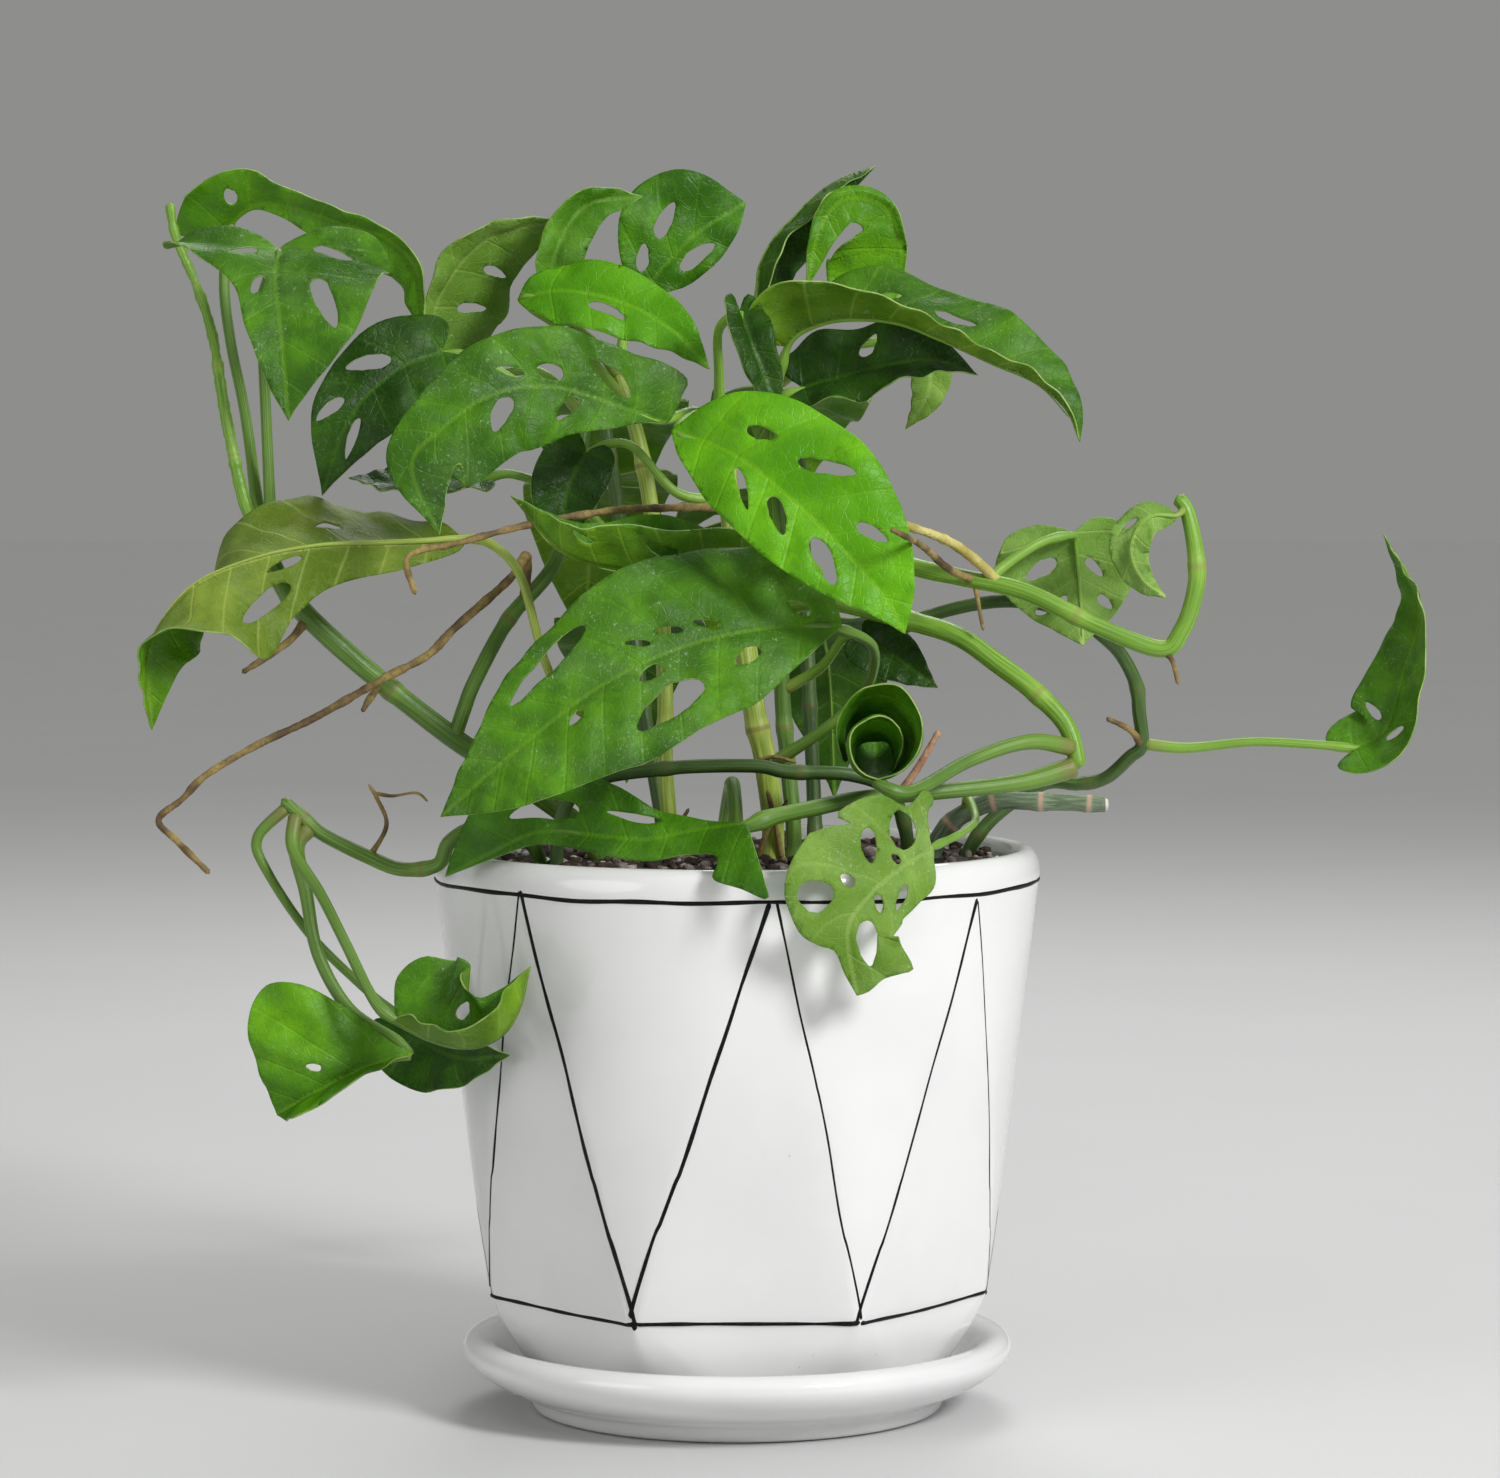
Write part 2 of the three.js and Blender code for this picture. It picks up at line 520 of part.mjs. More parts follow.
    widths: [4, 25], outlines: ['oval', 'lobed'], roll: [8, 8], fold: [8, 8], curl: [0, 0],
    wave: 1, full: [0.7, 0.85], holes: [],
  },
  leaf_right_long: {
    on: ['stem_centre_right', 0.94], stalk: [[14, 345, -8]],
    rib: [[15, 355, -16], [24, 361.5, -20], [43, 364.5, -26], [61, 360, -31], [80, 351, -36],
      [97, 344, -39], [109, 334, -41], [114, 323, -40]],
    widths: [25, 21], outlines: ['lobed', 'oval'], roll: [50, 40], fold: [74, 12], curl: [0, 0],
    wave: 2.5, full: [1, 0.9], lobe: 0.3,
    holes: [[0.5, -0.45, 14, 3.4, 5], [0.32, -0.42, 6, 2.6, 25]],
  },
  leaf_right_under: {
    on: ['stem_centre_right', 0.9], stalk: [[16, 338, -4]],
    rib: [[22, 341, -6], [44, 347, -8], [64, 350, -12], [80, 345, -14]],
    widths: [12, 16], roll: [34, 30], fold: [14, 14], curl: [10, 10], wave: 3,
    holes: [[0.4, -0.5, 9, 4, 45]],
  },
  leaf_right_hanging: {
    on: ['stem_centre_right', 0.96], stalk: [[30, 352, 14], [48, 356, 14]],
    rib: [[60, 354, 12], [64, 346, 10], [63, 338, 8], [56, 327, 8]],
    widths: [8, 7], roll: [20, 20], fold: [10, 10], curl: [0, 0], wave: 1, holes: [],
  },
  leaf_right_small: {
    on: ['stem_centre_right', 0.84], stalk: [[16, 333, 12]],
    rib: [[20, 339, 11], [19, 335, 9], [21, 329, 8], [28, 322, 7]],
    widths: [4, 16], outlines: ['oval', 'oval'], roll: [175, 175], fold: [10, 10], curl: [0, 0],
    wave: 0.5, holes: [],
  },
  leaf_strap: {
    on: ['stem_centre', 0.99], stalk: [[-6, 345, -14], [-6, 360, -26]],
    rib: [[1, 367, -38], [5, 355, -47], [10, 342, -48], [14, 328, -50]],
    widths: [9, 8], roll: [30, 20], fold: [30, 30], curl: [0, 0], wave: 1, holes: [],
  },
  leaf_rim: {
    on: ['vine_arching', 0.99], radius: 2.6,
    stalk: [[94, 209.5, -50], [63, 206, -60], [41, 204, -70], [26, 201, -80], [12, 198, -91]],
    rib: [[3, 196, -97], [-14, 193.5, -89], [-30, 190.5, -85], [-44, 191.5, -80], [-58, 193, -72],
      [-68, 192.5, -70], [-80, 187, -68], [-97.5, 178, -60]],
    widths: [20, 30], outlines: ['oval', 'hung'], roll: [-46, -36, -12, -10, -20, -30],
    fold: [4, 8], curl: [-10, -35], wave: 1, full: [0.5, 1],
    holes: [[0.64, 0.36, 20, 6, 2], [0.36, 0.34, 20, 2.6, 6]],
  },
  leaf_low_shell: {
    on: ['vine_trailing', 0.86], radius: 2.1,
    stalk: [[-147, 188, -38], [-144, 173, -40], [-140, 152, -46], [-130, 134, -52],
      [-116, 124, -56]],
    rib: [[-108, 119, -60], [-124, 114, -65], [-140, 106, -67], [-154, 98, -62]],
    widths: [38, 12], outlines: ['oval', 'oval'], roll: [-16, -8], fold: [10, 60],
    curl: [-10, 0], wave: 2, full: [0.5, 0.5],
    holes: [[0.62, 0.2, 5, 2.4, 40]],
  },
  leaf_low_cup: {
    on: ['vine_trailing', 0.94], radius: 1.8,
    stalk: [[-148, 187, -42], [-139, 172, -54], [-131, 156, -66], [-121, 136, -78]],
    rib: [[-114, 130, -80], [-101, 123, -86], [-87, 121, -92], [-75, 129, -96], [-69, 148, -92]],
    widths: [19, 27], outlines: ['oval', 'heart'], roll: [20, 30], fold: [92, 12], curl: [0, 10],
    wave: 2,
    holes: [[0.4, -0.45, 12, 5, 20]],
  },
  leaf_low_dark: {
    on: ['vine_trailing', 0.97], stalk: [[-160, 191, -34], [-157, 180, -34], [-143, 159, -34],
      [-125, 141, -26]],
    rib: [[-113, 131, -26], [-104, 122, -40], [-92, 117, -56], [-76, 118, -67]],
    widths: [16, 14], roll: [10, 10], fold: [10, 10], curl: [0, 0], wave: 1, holes: [],
  },
  leaf_skeletal: {
    on: ['vine_cut', 0.42], radius: 1.3,
    stalk: [[77, 204, -14], [79.5, 197.5, -30], [77, 194, -50], [72, 191, -70]],
    rib: [[66, 188, -86], [55, 181, -98], [45, 172.5, -106], [37, 160, -111], [40, 138, -110]],
    widths: [28, 20], outlines: ['torn', 'ragged'], roll: [14, 5], fold: [4, 4], curl: [-10, -10],
    wave: 1.5,
    holes: [[0.18, 0.38, 13, 9, 92], [0.36, 0.44, 11, 4.6, -72], [0.27, 0.13, 5, 2.6, 60],
      [0.52, 0.31, 5.4, 4, 72], [0.625, 0.5, 11, 5.2, 86], [0.35, -0.38, 10.4, 2.8, 24],
      [0.48, -0.2, 6, 3.2, 50], [0.73, -0.3, 20, 6.5, 0]],
  },
};

// Leaves on the far side, which arch away and droop: the vine, the direction from +X towards
// +Y in degrees, the length, the half-width, and how much of the leaf's length it drops.
const BACK_LEAVES = [
  ['vine_back_left', 0.98, 92, 112, 30, 0.5],
  ['vine_back_left', 0.82, 98, 100, 27, 0.62],
  ['vine_back_left', 0.56, 93, 112, 27, 0.55],
  ['vine_back_right', 0.98, 92, 108, 29, 0.42],
  ['vine_back_right', 0.78, 108, 96, 26, 0.6],
  ['vine_back_right', 0.56, 84, 110, 27, 0.6],
  ['vine_back_trailing', 0.8, 50, 84, 23, 0.75],
  ['vine_back_trailing', 0.97, 112, 88, 24, 0.85],
];
const BACK_STALK = 26; // how far out a blade starts
const BACK_LIFT = 22; // how high its stalk rises if the leaf doesn't drop
const BACK_ARCH = [[0, 0], [0.3, 0.06], [0.58, 0.34], [0.74, 1]]; // shares of length and drop
const BACK_HOLES = [[0.3, 0.45, 16, 6, 48], [0.46, -0.45, 17, 6, 44]];

function backLeaf([vine, share, heading, length, width, drop]) {
  const start = vineCurves[vine].getPoint(share);
  const turn = THREE.MathUtils.degToRad(heading);
  const out = new THREE.Vector3(Math.cos(turn), Math.sin(turn), 0);
  const at = (reach, rise) => start.clone().addScaledVector(out, reach).addScaledVector(UP, rise);
  const lift = BACK_LIFT * (1 - drop);
  return {
    on: [vine, share],
    stalkAt: [at(BACK_STALK * 0.5, lift * 0.7)],
    ribAt: BACK_ARCH.map(([reach, fall]) => at(BACK_STALK + length * reach, lift - length * drop * fall)),
    widths: [width, width],
    roll: [0, 0],
    fold: [12, 12],
    curl: [-26, -26],
    wave: 2,
    face: UP,
    holes: BACK_HOLES,
  };
}

// ---------------------------------------------------------------- making a leaf

const MOST_FLIPS = 400;
const LEAST_AREA = 1; // twice the area of the smallest triangle round an inner point
const cross = (a, b, c) => (b.x - a.x) * (c.y - a.y) - (b.y - a.y) * (c.x - a.x);

function insideCircle(a, b, c, d) {
  const [ax, ay, bx, by, cx, cy] = [a.x - d.x, a.y - d.y, b.x - d.x, b.y - d.y, c.x - d.x, c.y - d.y];
  const [aa, bb, cc] = [ax * ax + ay * ay, bx * bx + by * by, cx * cx + cy * cy];
  return ax * (by * cc - bb * cy) - ay * (bx * cc - bb * cx) + aa * (bx * cy - by * cx) > NEARLY_ZERO;
}

// Triangles of a flat outline with holes and some inner points, made even by edge flips.
function evenTriangles(outer, holes, inner) {
  const points = [...outer, ...holes.flat(), ...inner];
  const faces = THREE.ShapeUtils.triangulateShape(outer, holes).map(([a, b, c]) =>
    (cross(points[a], points[b], points[c]) > 0 ? [a, b, c] : [a, c, b]));
  const walls = new Set();
  let first = 0;
  for (const loop of [outer, ...holes]) {
    loop.forEach((_, i) => {
      const [a, b] = [first + i, first + ((i + 1) % loop.length)];
      walls.add(`${Math.min(a, b)}-${Math.max(a, b)}`);
    });
    first += loop.length;
  }
  inner.forEach((point, i) => {
    const inFrontOf = (a, b) => cross(points[a], points[b], point) > LEAST_AREA;
    const home = faces.findIndex(([a, b, c]) => inFrontOf(a, b) && inFrontOf(b, c) && inFrontOf(c, a));
    if (home < 0) return;
    const [a, b, c] = faces[home];
    faces.splice(home, 1, [a, b, first + i], [b, c, first + i], [c, a, first + i]);
  });
  let flips = MOST_FLIPS;
  let changed = true;
  while (changed && flips > 0) {
    changed = false;
    const owners = new Map();
    faces.forEach((face, f) => face.forEach((a, k) => {
      const b = face[(k + 1) % 3];
      const key = `${Math.min(a, b)}-${Math.max(a, b)}`;
      owners.set(key, [...(owners.get(key) ?? []), [f, a, b, face[(k + 2) % 3]]]);
    }));
    for (const [key, sides] of owners) {
      if (walls.has(key) || sides.length < 2) continue;
      const [[f, a, b, c], [g, , , d]] = sides;
      const [A, B, C, D] = [a, b, c, d].map((k) => points[k]);
      if (cross(C, D, B) > NEARLY_ZERO && cross(D, C, A) > NEARLY_ZERO && insideCircle(A, B, C, D)) {
        faces[f] = [c, d, b];
        faces[g] = [d, c, a];
        changed = true;
        flips -= 1;
        break;
      }
    }
  }
  return { points, faces, walls };
}

// The value at a share of the way along a list of evenly spaced values.
function along(values, share) {
  const place = share * (values.length - 1);
  const step = Math.min(Math.floor(place), values.length - 2);
  const t = place - step;
  return values[step] + (values[step + 1] - values[step]) * t * t * (3 - 2 * t);
}

// The place of a flat point of a leaf in space, raised above the blade's middle by lift.
// The flat point is the distance from the base along the midrib, and the signed distance from it.
function bender(spec, curve) {
  const length = curve.getLength();
  const face = spec.face ?? VIEWER;
  const radians = THREE.MathUtils.degToRad;
  return (reachAlong, side, lift) => {
    const share = Math.min(Math.max(reachAlong / length, 0), 1);
    const tangent = curve.getTangentAt(share).normalize();
    const middle = curve.getPointAt(share).addScaledVector(tangent, reachAlong - share * length);
    const flatAcross = tangent.clone().cross(face).normalize();
    const flatNormal = flatAcross.clone().cross(tangent);
    const roll = radians(along(spec.roll, share));
    const across = flatAcross.clone().multiplyScalar(Math.cos(roll))
      .addScaledVector(flatNormal, Math.sin(roll));
    const normal = across.clone().cross(tangent);
    const half = side >= 0 ? 0 : 1;
    const width = spec.widths[half];
    const fold = radians(spec.fold[half]);
    const curl = (radians(spec.curl[half]) / width) * (1 + (spec.tighter ?? 0) * share);
    const reach = Math.abs(side);
    const turn = fold + curl * reach;
    let [out, rise] = [reach * Math.cos(fold), reach * Math.sin(fold)];
    if (Math.abs(curl) > NEARLY_ZERO) {
      out = (Math.sin(turn) - Math.sin(fold)) / curl;
      rise = (Math.cos(fold) - Math.cos(turn)) / curl;
    }
    const phase = 2 * Math.PI * WAVES * share + 2 * half + width;
    rise += spec.wave * (reach / width) ** 2 * Math.sin(phase);
    const tilt = reach > 0 ? turn : 0;
    const sign = side >= 0 ? 1 : -1;
    return middle
      .addScaledVector(across, sign * (out - lift * Math.sin(tilt)))
      .addScaledVector(normal, rise + lift * Math.cos(tilt));
  };
}

function bladeBody(spec, curve) {
  const place = bender(spec, curve);
  const length = curve.getLength();
  const lobe = spec.lobe ?? 1;
  const positions = [];
  const put = (...corners) => corners.forEach((corner) => positions.push(...corner.toArray()));
  for (const sign of [1, -1]) {
    const half = sign > 0 ? 0 : 1;
    const width = spec.widths[half];
    const outline = OUTLINES[spec.outlines?.[half] ?? 'heart'];
    const full = spec.full?.[half] ?? 1;
    const outer = [
      ...outline.map(([p, q]) => new THREE.Vector2((p > 0 ? p ** full : p * lobe) * length, q * width)),
      ...MIDRIB_SHARES.map((p) => new THREE.Vector2(p * length, 0)).reverse(),
    ];
    const holes = spec.holes.filter((hole) => Math.sign(hole[1]) === sign)
      .map(([p, q, long, short, slant]) => {
        const turn = THREE.MathUtils.degToRad(slant);
        return Array.from({ length: HOLE_CORNERS }, (_, i) => {
          const angle = (2 * Math.PI * i) / HOLE_CORNERS;
          const [u, v] = [long * 0.5 * Math.cos(angle), short * 0.5 * Math.sin(angle)];
          const x = p * length + u * Math.cos(turn) - v * Math.sin(turn);
          const y = Math.abs(q) * width + u * Math.sin(turn) + v * Math.cos(turn);
          return new THREE.Vector2(x, y);
        });
      });
    const inner = INNER_SHARES.map(([p, q]) => new THREE.Vector2(p * length, q * width))
      .filter((point) => holes.flat().every((corner) => corner.distanceTo(point) > HOLE_MARGIN));
    const { points, faces, walls } = evenTriangles(outer, holes, inner);
    const top = points.map(({ x, y }) => place(x, sign * y, BLADE_THICKNESS / 2));
    const low = points.map(({ x, y }) => place(x, sign * y, -BLADE_THICKNESS / 2));
    for (const [a, b, c] of faces) {
      const [second, third] = sign > 0 ? [b, c] : [c, b];
      put(top[a], top[third], top[second], low[a], low[second], low[third]);
      for (const [from, to] of [[a, b], [b, c], [c, a]]) {
        const key = `${Math.min(from, to)}-${Math.max(from, to)}`;
        if (!walls.has(key) || (points[from].y === 0 && points[to].y === 0)) continue;
        const [start, end] = sign > 0 ? [from, to] : [to, from];
        put(top[start], top[end], low[end], top[start], low[end], low[start]);
      }
    }
  }
  const geometry = new THREE.BufferGeometry();
  geometry.setAttribute('position', new THREE.Float32BufferAttribute(positions, 3));
  return solid(geometry);
}

function leafBody(spec) {
  const rib = spec.ribAt ?? spec.rib.map(seen);
  const curve = route(rib);
  const carrier = vineCurves[spec.on[0]].getPoint(spec.on[1]);
  const middle = spec.stalkAt ?? spec.stalk.map(seen);
  const sunk = curve.getPointAt(STALK_SINK);
  const stalk = [carrier, ...middle, curve.getPointAt(0), sunk];
  const steps = 3 + Math.round(middle.length * STALK_STEPS);
  const stem = rod(stalk, spec.radius ?? STALK_RADIUS, STALK_SIDES, steps);
  const blade = bladeBody(spec, curve);
  return largest(stem.add(blade).subtract(vineCutters[spec.on[0]]));
}

// ---------------------------------------------------------------- putting it together

const COLOURS = {
  glaze: { color: 0xf2f2ef, roughness: 0.12, metalness: 0 },
  soil: { color: 0x4a3a33, roughness: 0.95, metalness: 0 },
  leaf: { color: 0x3f8f2c, roughness: 0.45, metalness: 0 },
  stem: { color: 0x7fae45, roughness: 0.5, metalness: 0 },
  root: { color: 0x8a6a3c, roughness: 0.85, metalness: 0 },
};

const plant = new THREE.Group();
function addPiece(name, body, colour) {
  const mesh = new THREE.Mesh(geometryOf(body), new THREE.MeshStandardMaterial(COLOURS[colour]));
  mesh.name = name;
  plant.add(mesh);
}

const vineCurves = {};
const vineCutters = {};
const vineBodies = {};
for (const [name, vine] of Object.entries(VINES)) {
  const points = vine.points.map(seen);
  if (vine.from) points.unshift(vineCurves[vine.from[0]].getPoint(vine.from[1]));
  vineCurves[name] = route(points);
  const steps = Math.round(points.length * VINE_STEPS);
  const wholeVine = (extra) => (SPURS[name] ?? []).reduce((body, spur) => {
    const spurRod = rod(spur.points.map(seen), spur.radius + extra, SPUR_SIDES, spur.points.length + 1);
    return body.add(spurRod);
  }, rod(points, vine.radius + extra, VINE_SIDES, steps));
  vineBodies[name] = wholeVine(0);
  vineCutters[name] = wholeVine(CLEARANCE);
  if (vine.from) vineBodies[name] = largest(vineBodies[name].subtract(vineCutters[vine.from[0]]));
}

addPiece('saucer', turned(SAUCER_PROFILE, SAUCER_SEGMENTS), 'glaze');
addPiece('pot', potBody(), 'glaze');
let soil = turned(SOIL_PROFILE, SOIL_SEGMENTS);
for (const [name, vine] of Object.entries(VINES)) {
  if (!vine.from) soil = soil.subtract(vineCutters[name]);
}
addPiece('soil', largest(soil), 'soil');
for (const [name, body] of Object.entries(vineBodies)) addPiece(name, body, 'stem');
for (const [name, root] of Object.entries(ROOTS)) {
  const [carrier, share] = root.from;
  const points = [vineCurves[carrier].getPoint(share), ...root.points.map(seen)];
  const body = rod(points, root.radius, ROOT_SIDES, root.steps);
  addPiece(name, largest(body.subtract(vineCutters[carrier])), 'root');
}
for (const [name, spec] of Object.entries(LEAVES)) addPiece(name, leafBody(spec), 'leaf');
BACK_LEAVES.forEach((row, i) => addPiece(`leaf_back_${i + 1}`, leafBody(backLeaf(row)), 'leaf'));

export default plant;
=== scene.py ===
# A potted monstera adansonii, dressed around its solid model. Metres in the file, +Z up, front at -Y.
# Sizes are written in millimetres, as a gardener or a potter would measure them.

import math
import random

import bmesh
import bpy
from mathutils import Matrix, Vector, noise
from mathutils.bvhtree import BVHTree


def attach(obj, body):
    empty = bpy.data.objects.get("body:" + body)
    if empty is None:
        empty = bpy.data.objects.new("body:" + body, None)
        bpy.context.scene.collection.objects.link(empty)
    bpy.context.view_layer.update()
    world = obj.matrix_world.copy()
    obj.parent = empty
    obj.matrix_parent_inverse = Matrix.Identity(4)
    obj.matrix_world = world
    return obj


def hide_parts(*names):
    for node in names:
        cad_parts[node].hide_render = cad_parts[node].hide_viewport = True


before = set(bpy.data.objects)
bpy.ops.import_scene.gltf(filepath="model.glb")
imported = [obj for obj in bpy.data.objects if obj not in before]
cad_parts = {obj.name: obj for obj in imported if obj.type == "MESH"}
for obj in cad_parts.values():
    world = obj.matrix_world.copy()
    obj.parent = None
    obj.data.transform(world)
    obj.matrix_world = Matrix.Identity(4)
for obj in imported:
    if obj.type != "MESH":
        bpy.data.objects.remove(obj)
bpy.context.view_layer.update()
MM = 0.001

# ----------------------------------------
# The saucer: thick white earthenware under a clear gloss glaze, turned on a wheel. It has a foot
# that stands on the table, a flat floor for the pot, and a heavy rounded rim.

SAUCER_STEPS = 120
SAUCER_PROFILE = [(0, 0), (40, 0), (66, 0), (68.4, 0.3), (69.4, 2.6), (70.4, 5.2), (71.6, 6), (79, 8.8),
                  (86.6, 12.8), (91.2, 17.4), (92.4, 21), (91, 24.2), (87.6, 25.8), (83.4, 25), (80.4, 21.6),
                  (78, 17.6), (75, 14.2), (71, 12.6), (66, 12), (30, 12), (0, 12)]


def node(tree, kind, inputs=None, **settings):
    made = tree.nodes.new(kind)
    for name, value in settings.items():
        setattr(made, name, value)
    for socket, value in (inputs or {}).items():
        if isinstance(value, bpy.types.NodeSocket):
            tree.links.new(value, made.inputs[socket])
        else:
            made.inputs[socket].default_value = value
    return made


def mixed(tree, share, first, second):
    # The colour between two colours; a colour mix keeps its sockets at 6 and 7.
    first, second = [(*colour, 1) if isinstance(colour, tuple) else colour for colour in (first, second)]
    return node(tree, "ShaderNodeMix", {0: share, 6: first, 7: second}, data_type="RGBA").outputs[2]


def ranged(tree, value, low, high, to_low=0.0, to_high=1.0):
    # Eases from one value to another while a pattern goes from low to high.
    made = node(tree, "ShaderNodeMapRange", {0: value, 1: low, 2: high, 3: to_low, 4: to_high},
                interpolation_type="SMOOTHSTEP")
    return made.outputs[0]


def worked(tree, operation, first, second=0.5):
    return node(tree, "ShaderNodeMath", {0: first, 1: second}, operation=operation).outputs[0]


def times(tree, first, second):
    return worked(tree, "MULTIPLY", first, second)


def clouded(tree, place, scale, detail=3.0):
    return node(tree, "ShaderNodeTexNoise", {"Vector": place, "Scale": scale, "Detail": detail}).outputs[0]


def new_finish(name):
    # An empty material with its shader, and the place on the piece that its patterns read.
    material = bpy.data.materials.new(name)
    material.use_nodes = True
    tree = material.node_tree
    shader = tree.nodes["Principled BSDF"]
    place = node(tree, "ShaderNodeTexCoord").outputs["Object"]
    return material, tree, shader, place


def wire(tree, shader, **values):
    for name, value in values.items():
        socket = shader.inputs[name.replace("_", " ").title().replace("Ior", "IOR")]
        if isinstance(value, bpy.types.NodeSocket):
            tree.links.new(value, socket)
        else:
            socket.default_value = value


def bumped(tree, height, strength, depth):
    values = {"Height": height, "Strength": strength, "Distance": depth}
    return node(tree, "ShaderNodeBump", values).outputs[0]


def set_in_scene(name, data):
    made = bpy.data.objects.new(name, data)
    bpy.context.scene.collection.objects.link(made)
    return made


def add_piece(name, shape, materials, replaced=None):
    # A finished shape in millimetres becomes an object in metres that rides with the part.
    bmesh.ops.scale(shape, vec=(MM, MM, MM), verts=shape.verts[:])
    mesh = bpy.data.meshes.new(name)
    shape.to_mesh(mesh)
    shape.free()
    mesh.shade_smooth()
    for material in materials:
        mesh.materials.append(material)
    piece = set_in_scene(name, mesh)
    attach(piece, "root")
    if replaced:
        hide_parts(replaced)
    return piece


WELD = 0.001
FINE_WELD = 0.0001


def turned_shape(profile, steps):
    shape = bmesh.new()
    verts = [shape.verts.new((radius, 0, height)) for radius, height in profile]
    edges = [shape.edges.new(pair) for pair in zip(verts, verts[1:])]
    bmesh.ops.spin(shape, geom=verts + edges, cent=(0, 0, 0), axis=(0, 0, 1), angle=2 * math.pi,
                   steps=steps, use_merge=True)
    bmesh.ops.remove_doubles(shape, verts=shape.verts[:], dist=WELD)
    bmesh.ops.recalc_face_normals(shape, faces=shape.faces[:])
    return shape


def rounded(piece, levels):
    smoothing = piece.modifiers.new("rounded", "SUBSURF")
    smoothing.levels = levels
    smoothing.render_levels = levels


def glaze_finish():
    material, tree, shader, place = new_finish("white_glaze")
    clouds = clouded(tree, place, 18.0)
    ripple = clouded(tree, place, 55.0, 2.0)
    pits = node(tree, "ShaderNodeTexVoronoi", {"Vector": place, "Scale": 210.0}).outputs["Distance"]
    speck = ranged(tree, pits, 0.035, 0.075, 1.0, 0.0)
    rare = ranged(tree, clouds, 0.56, 0.62)
    body = mixed(tree, ranged(tree, clouds, 0.3, 0.7), (0.8, 0.8, 0.795), (0.74, 0.742, 0.74))
    dotted = mixed(tree, times(tree, speck, rare), body, (0.5, 0.44, 0.4))
    wire(tree, shader, base_color=dotted, roughness=ranged(tree, ripple, 0.3, 0.7, 0.07, 0.17),
         normal=bumped(tree, ripple, 0.16, 0.0006), ior=1.52, coat_weight=0.35, coat_roughness=0.04)
    return material


white_glaze = glaze_finish()
saucer = add_piece("glazed_saucer", turned_shape(SAUCER_PROFILE, SAUCER_STEPS), [white_glaze],
                   "saucer")
rounded(saucer, 1)

# ----------------------------------------
# The pot: slip-cast and glazed like the saucer. Its seven lower corners open into a round lip, so
# the wall is a band of tall flat triangles, point up and point down in turn.

SIDES = 7
SIDE_ANGLE = 2 * math.pi / SIDES
FIRST_CORNER = -0.412  # radians round from the front
PATTERN_FOOT = 41.0
PATTERN_TOP = 178.0
# How far each upper point of the pattern sits off the middle of its side, in sides.
POINT_SHIFTS = [0.115, 0.084, -0.064, 0.03, -0.05, 0.04, -0.02]
FOOT_RADIUS = 84.3
TOP_RADIUS = 100.7
CORNER_POINTS = 12
ROUND = (CORNER_POINTS - 1) / CORNER_POINTS
CRISP = 0.06
# Rings of the pot: radius, height, and how far the points of each corner open towards a circle.
LOWER_RINGS = [(5, 12.3, ROUND), (20, 12.3, ROUND), (60, 12.3, ROUND), (65, 12.3, ROUND), (67, 12.9, ROUND),
               (70, 15.4, ROUND), (73.4, 19.6, 0.76), (77, 25.2, 0.56), (80.6, 31.2, 0.38), (83.1, 36.8, 0.2),
               (84.1, 39.9, 0.1)]
UPPER_RINGS = [(101, 179.6, ROUND), (101, 181.6, ROUND), (100.7, 184, ROUND), (99.6, 186.6, ROUND),
               (97.6, 188.3, ROUND), (95.4, 188.5, ROUND), (93.6, 187, ROUND), (92.7, 184, ROUND),
               (92.2, 176, ROUND), (80, 104, ROUND), (66.6, 27, ROUND), (62, 21, ROUND), (20, 21, ROUND),
               (5, 21, ROUND)]
WALL_SHARES = [0, 0.03, 0.1, 0.22, 0.36, 0.5, 0.64, 0.78, 0.9, 0.97, 1]


def wall_ring(share):
    radius = FOOT_RADIUS + (TOP_RADIUS - FOOT_RADIUS) * share
    height = PATTERN_FOOT + (PATTERN_TOP - PATTERN_FOOT) * share
    return radius, height, CRISP + (1 - CRISP) * share


def corner_point(radius, height, turns):
    angle = FIRST_CORNER + turns * SIDE_ANGLE
    return Vector((radius * math.sin(angle), -radius * math.cos(angle), height))


def pot_shape():
    rings = LOWER_RINGS + [wall_ring(share) for share in WALL_SHARES] + UPPER_RINGS
    slips = [0] * len(LOWER_RINGS) + WALL_SHARES + [1] * len(UPPER_RINGS)
    around = SIDES * CORNER_POINTS
    shape = bmesh.new()
    bmesh.ops.create_grid(shape, x_segments=len(rings), y_segments=around, size=0.5)
    for vert in shape.verts:
        ring = round((vert.co.x + 0.5) * len(rings)) % len(rings)
        point = round((vert.co.y + 0.5) * around) % around
        corner, place = divmod(point, CORNER_POINTS)
        radius, height, spread = rings[ring]
        share = place / (CORNER_POINTS - 1)
        shift = POINT_SHIFTS[corner] * (1 - share) + POINT_SHIFTS[(corner + 1) % SIDES] * share
        if ring < len(LOWER_RINGS):
            # Below the pattern the flat sides ease into a round foot.
            half = SIDE_ANGLE / 2
            flat = math.cos(half) / math.cos(half - abs(share - 0.5) * spread * SIDE_ANGLE)
            radius *= spread + (1 - spread) * flat
        vert.co = corner_point(radius, height, corner + (share - 0.5) * spread + shift * slips[ring])
    bmesh.ops.remove_doubles(shape, verts=shape.verts[:], dist=WELD)
    bmesh.ops.recalc_face_normals(shape, faces=shape.faces[:])
    return shape


pot = add_piece("glazed_pot", pot_shape(), [white_glaze], "pot")
rounded(pot, 1)

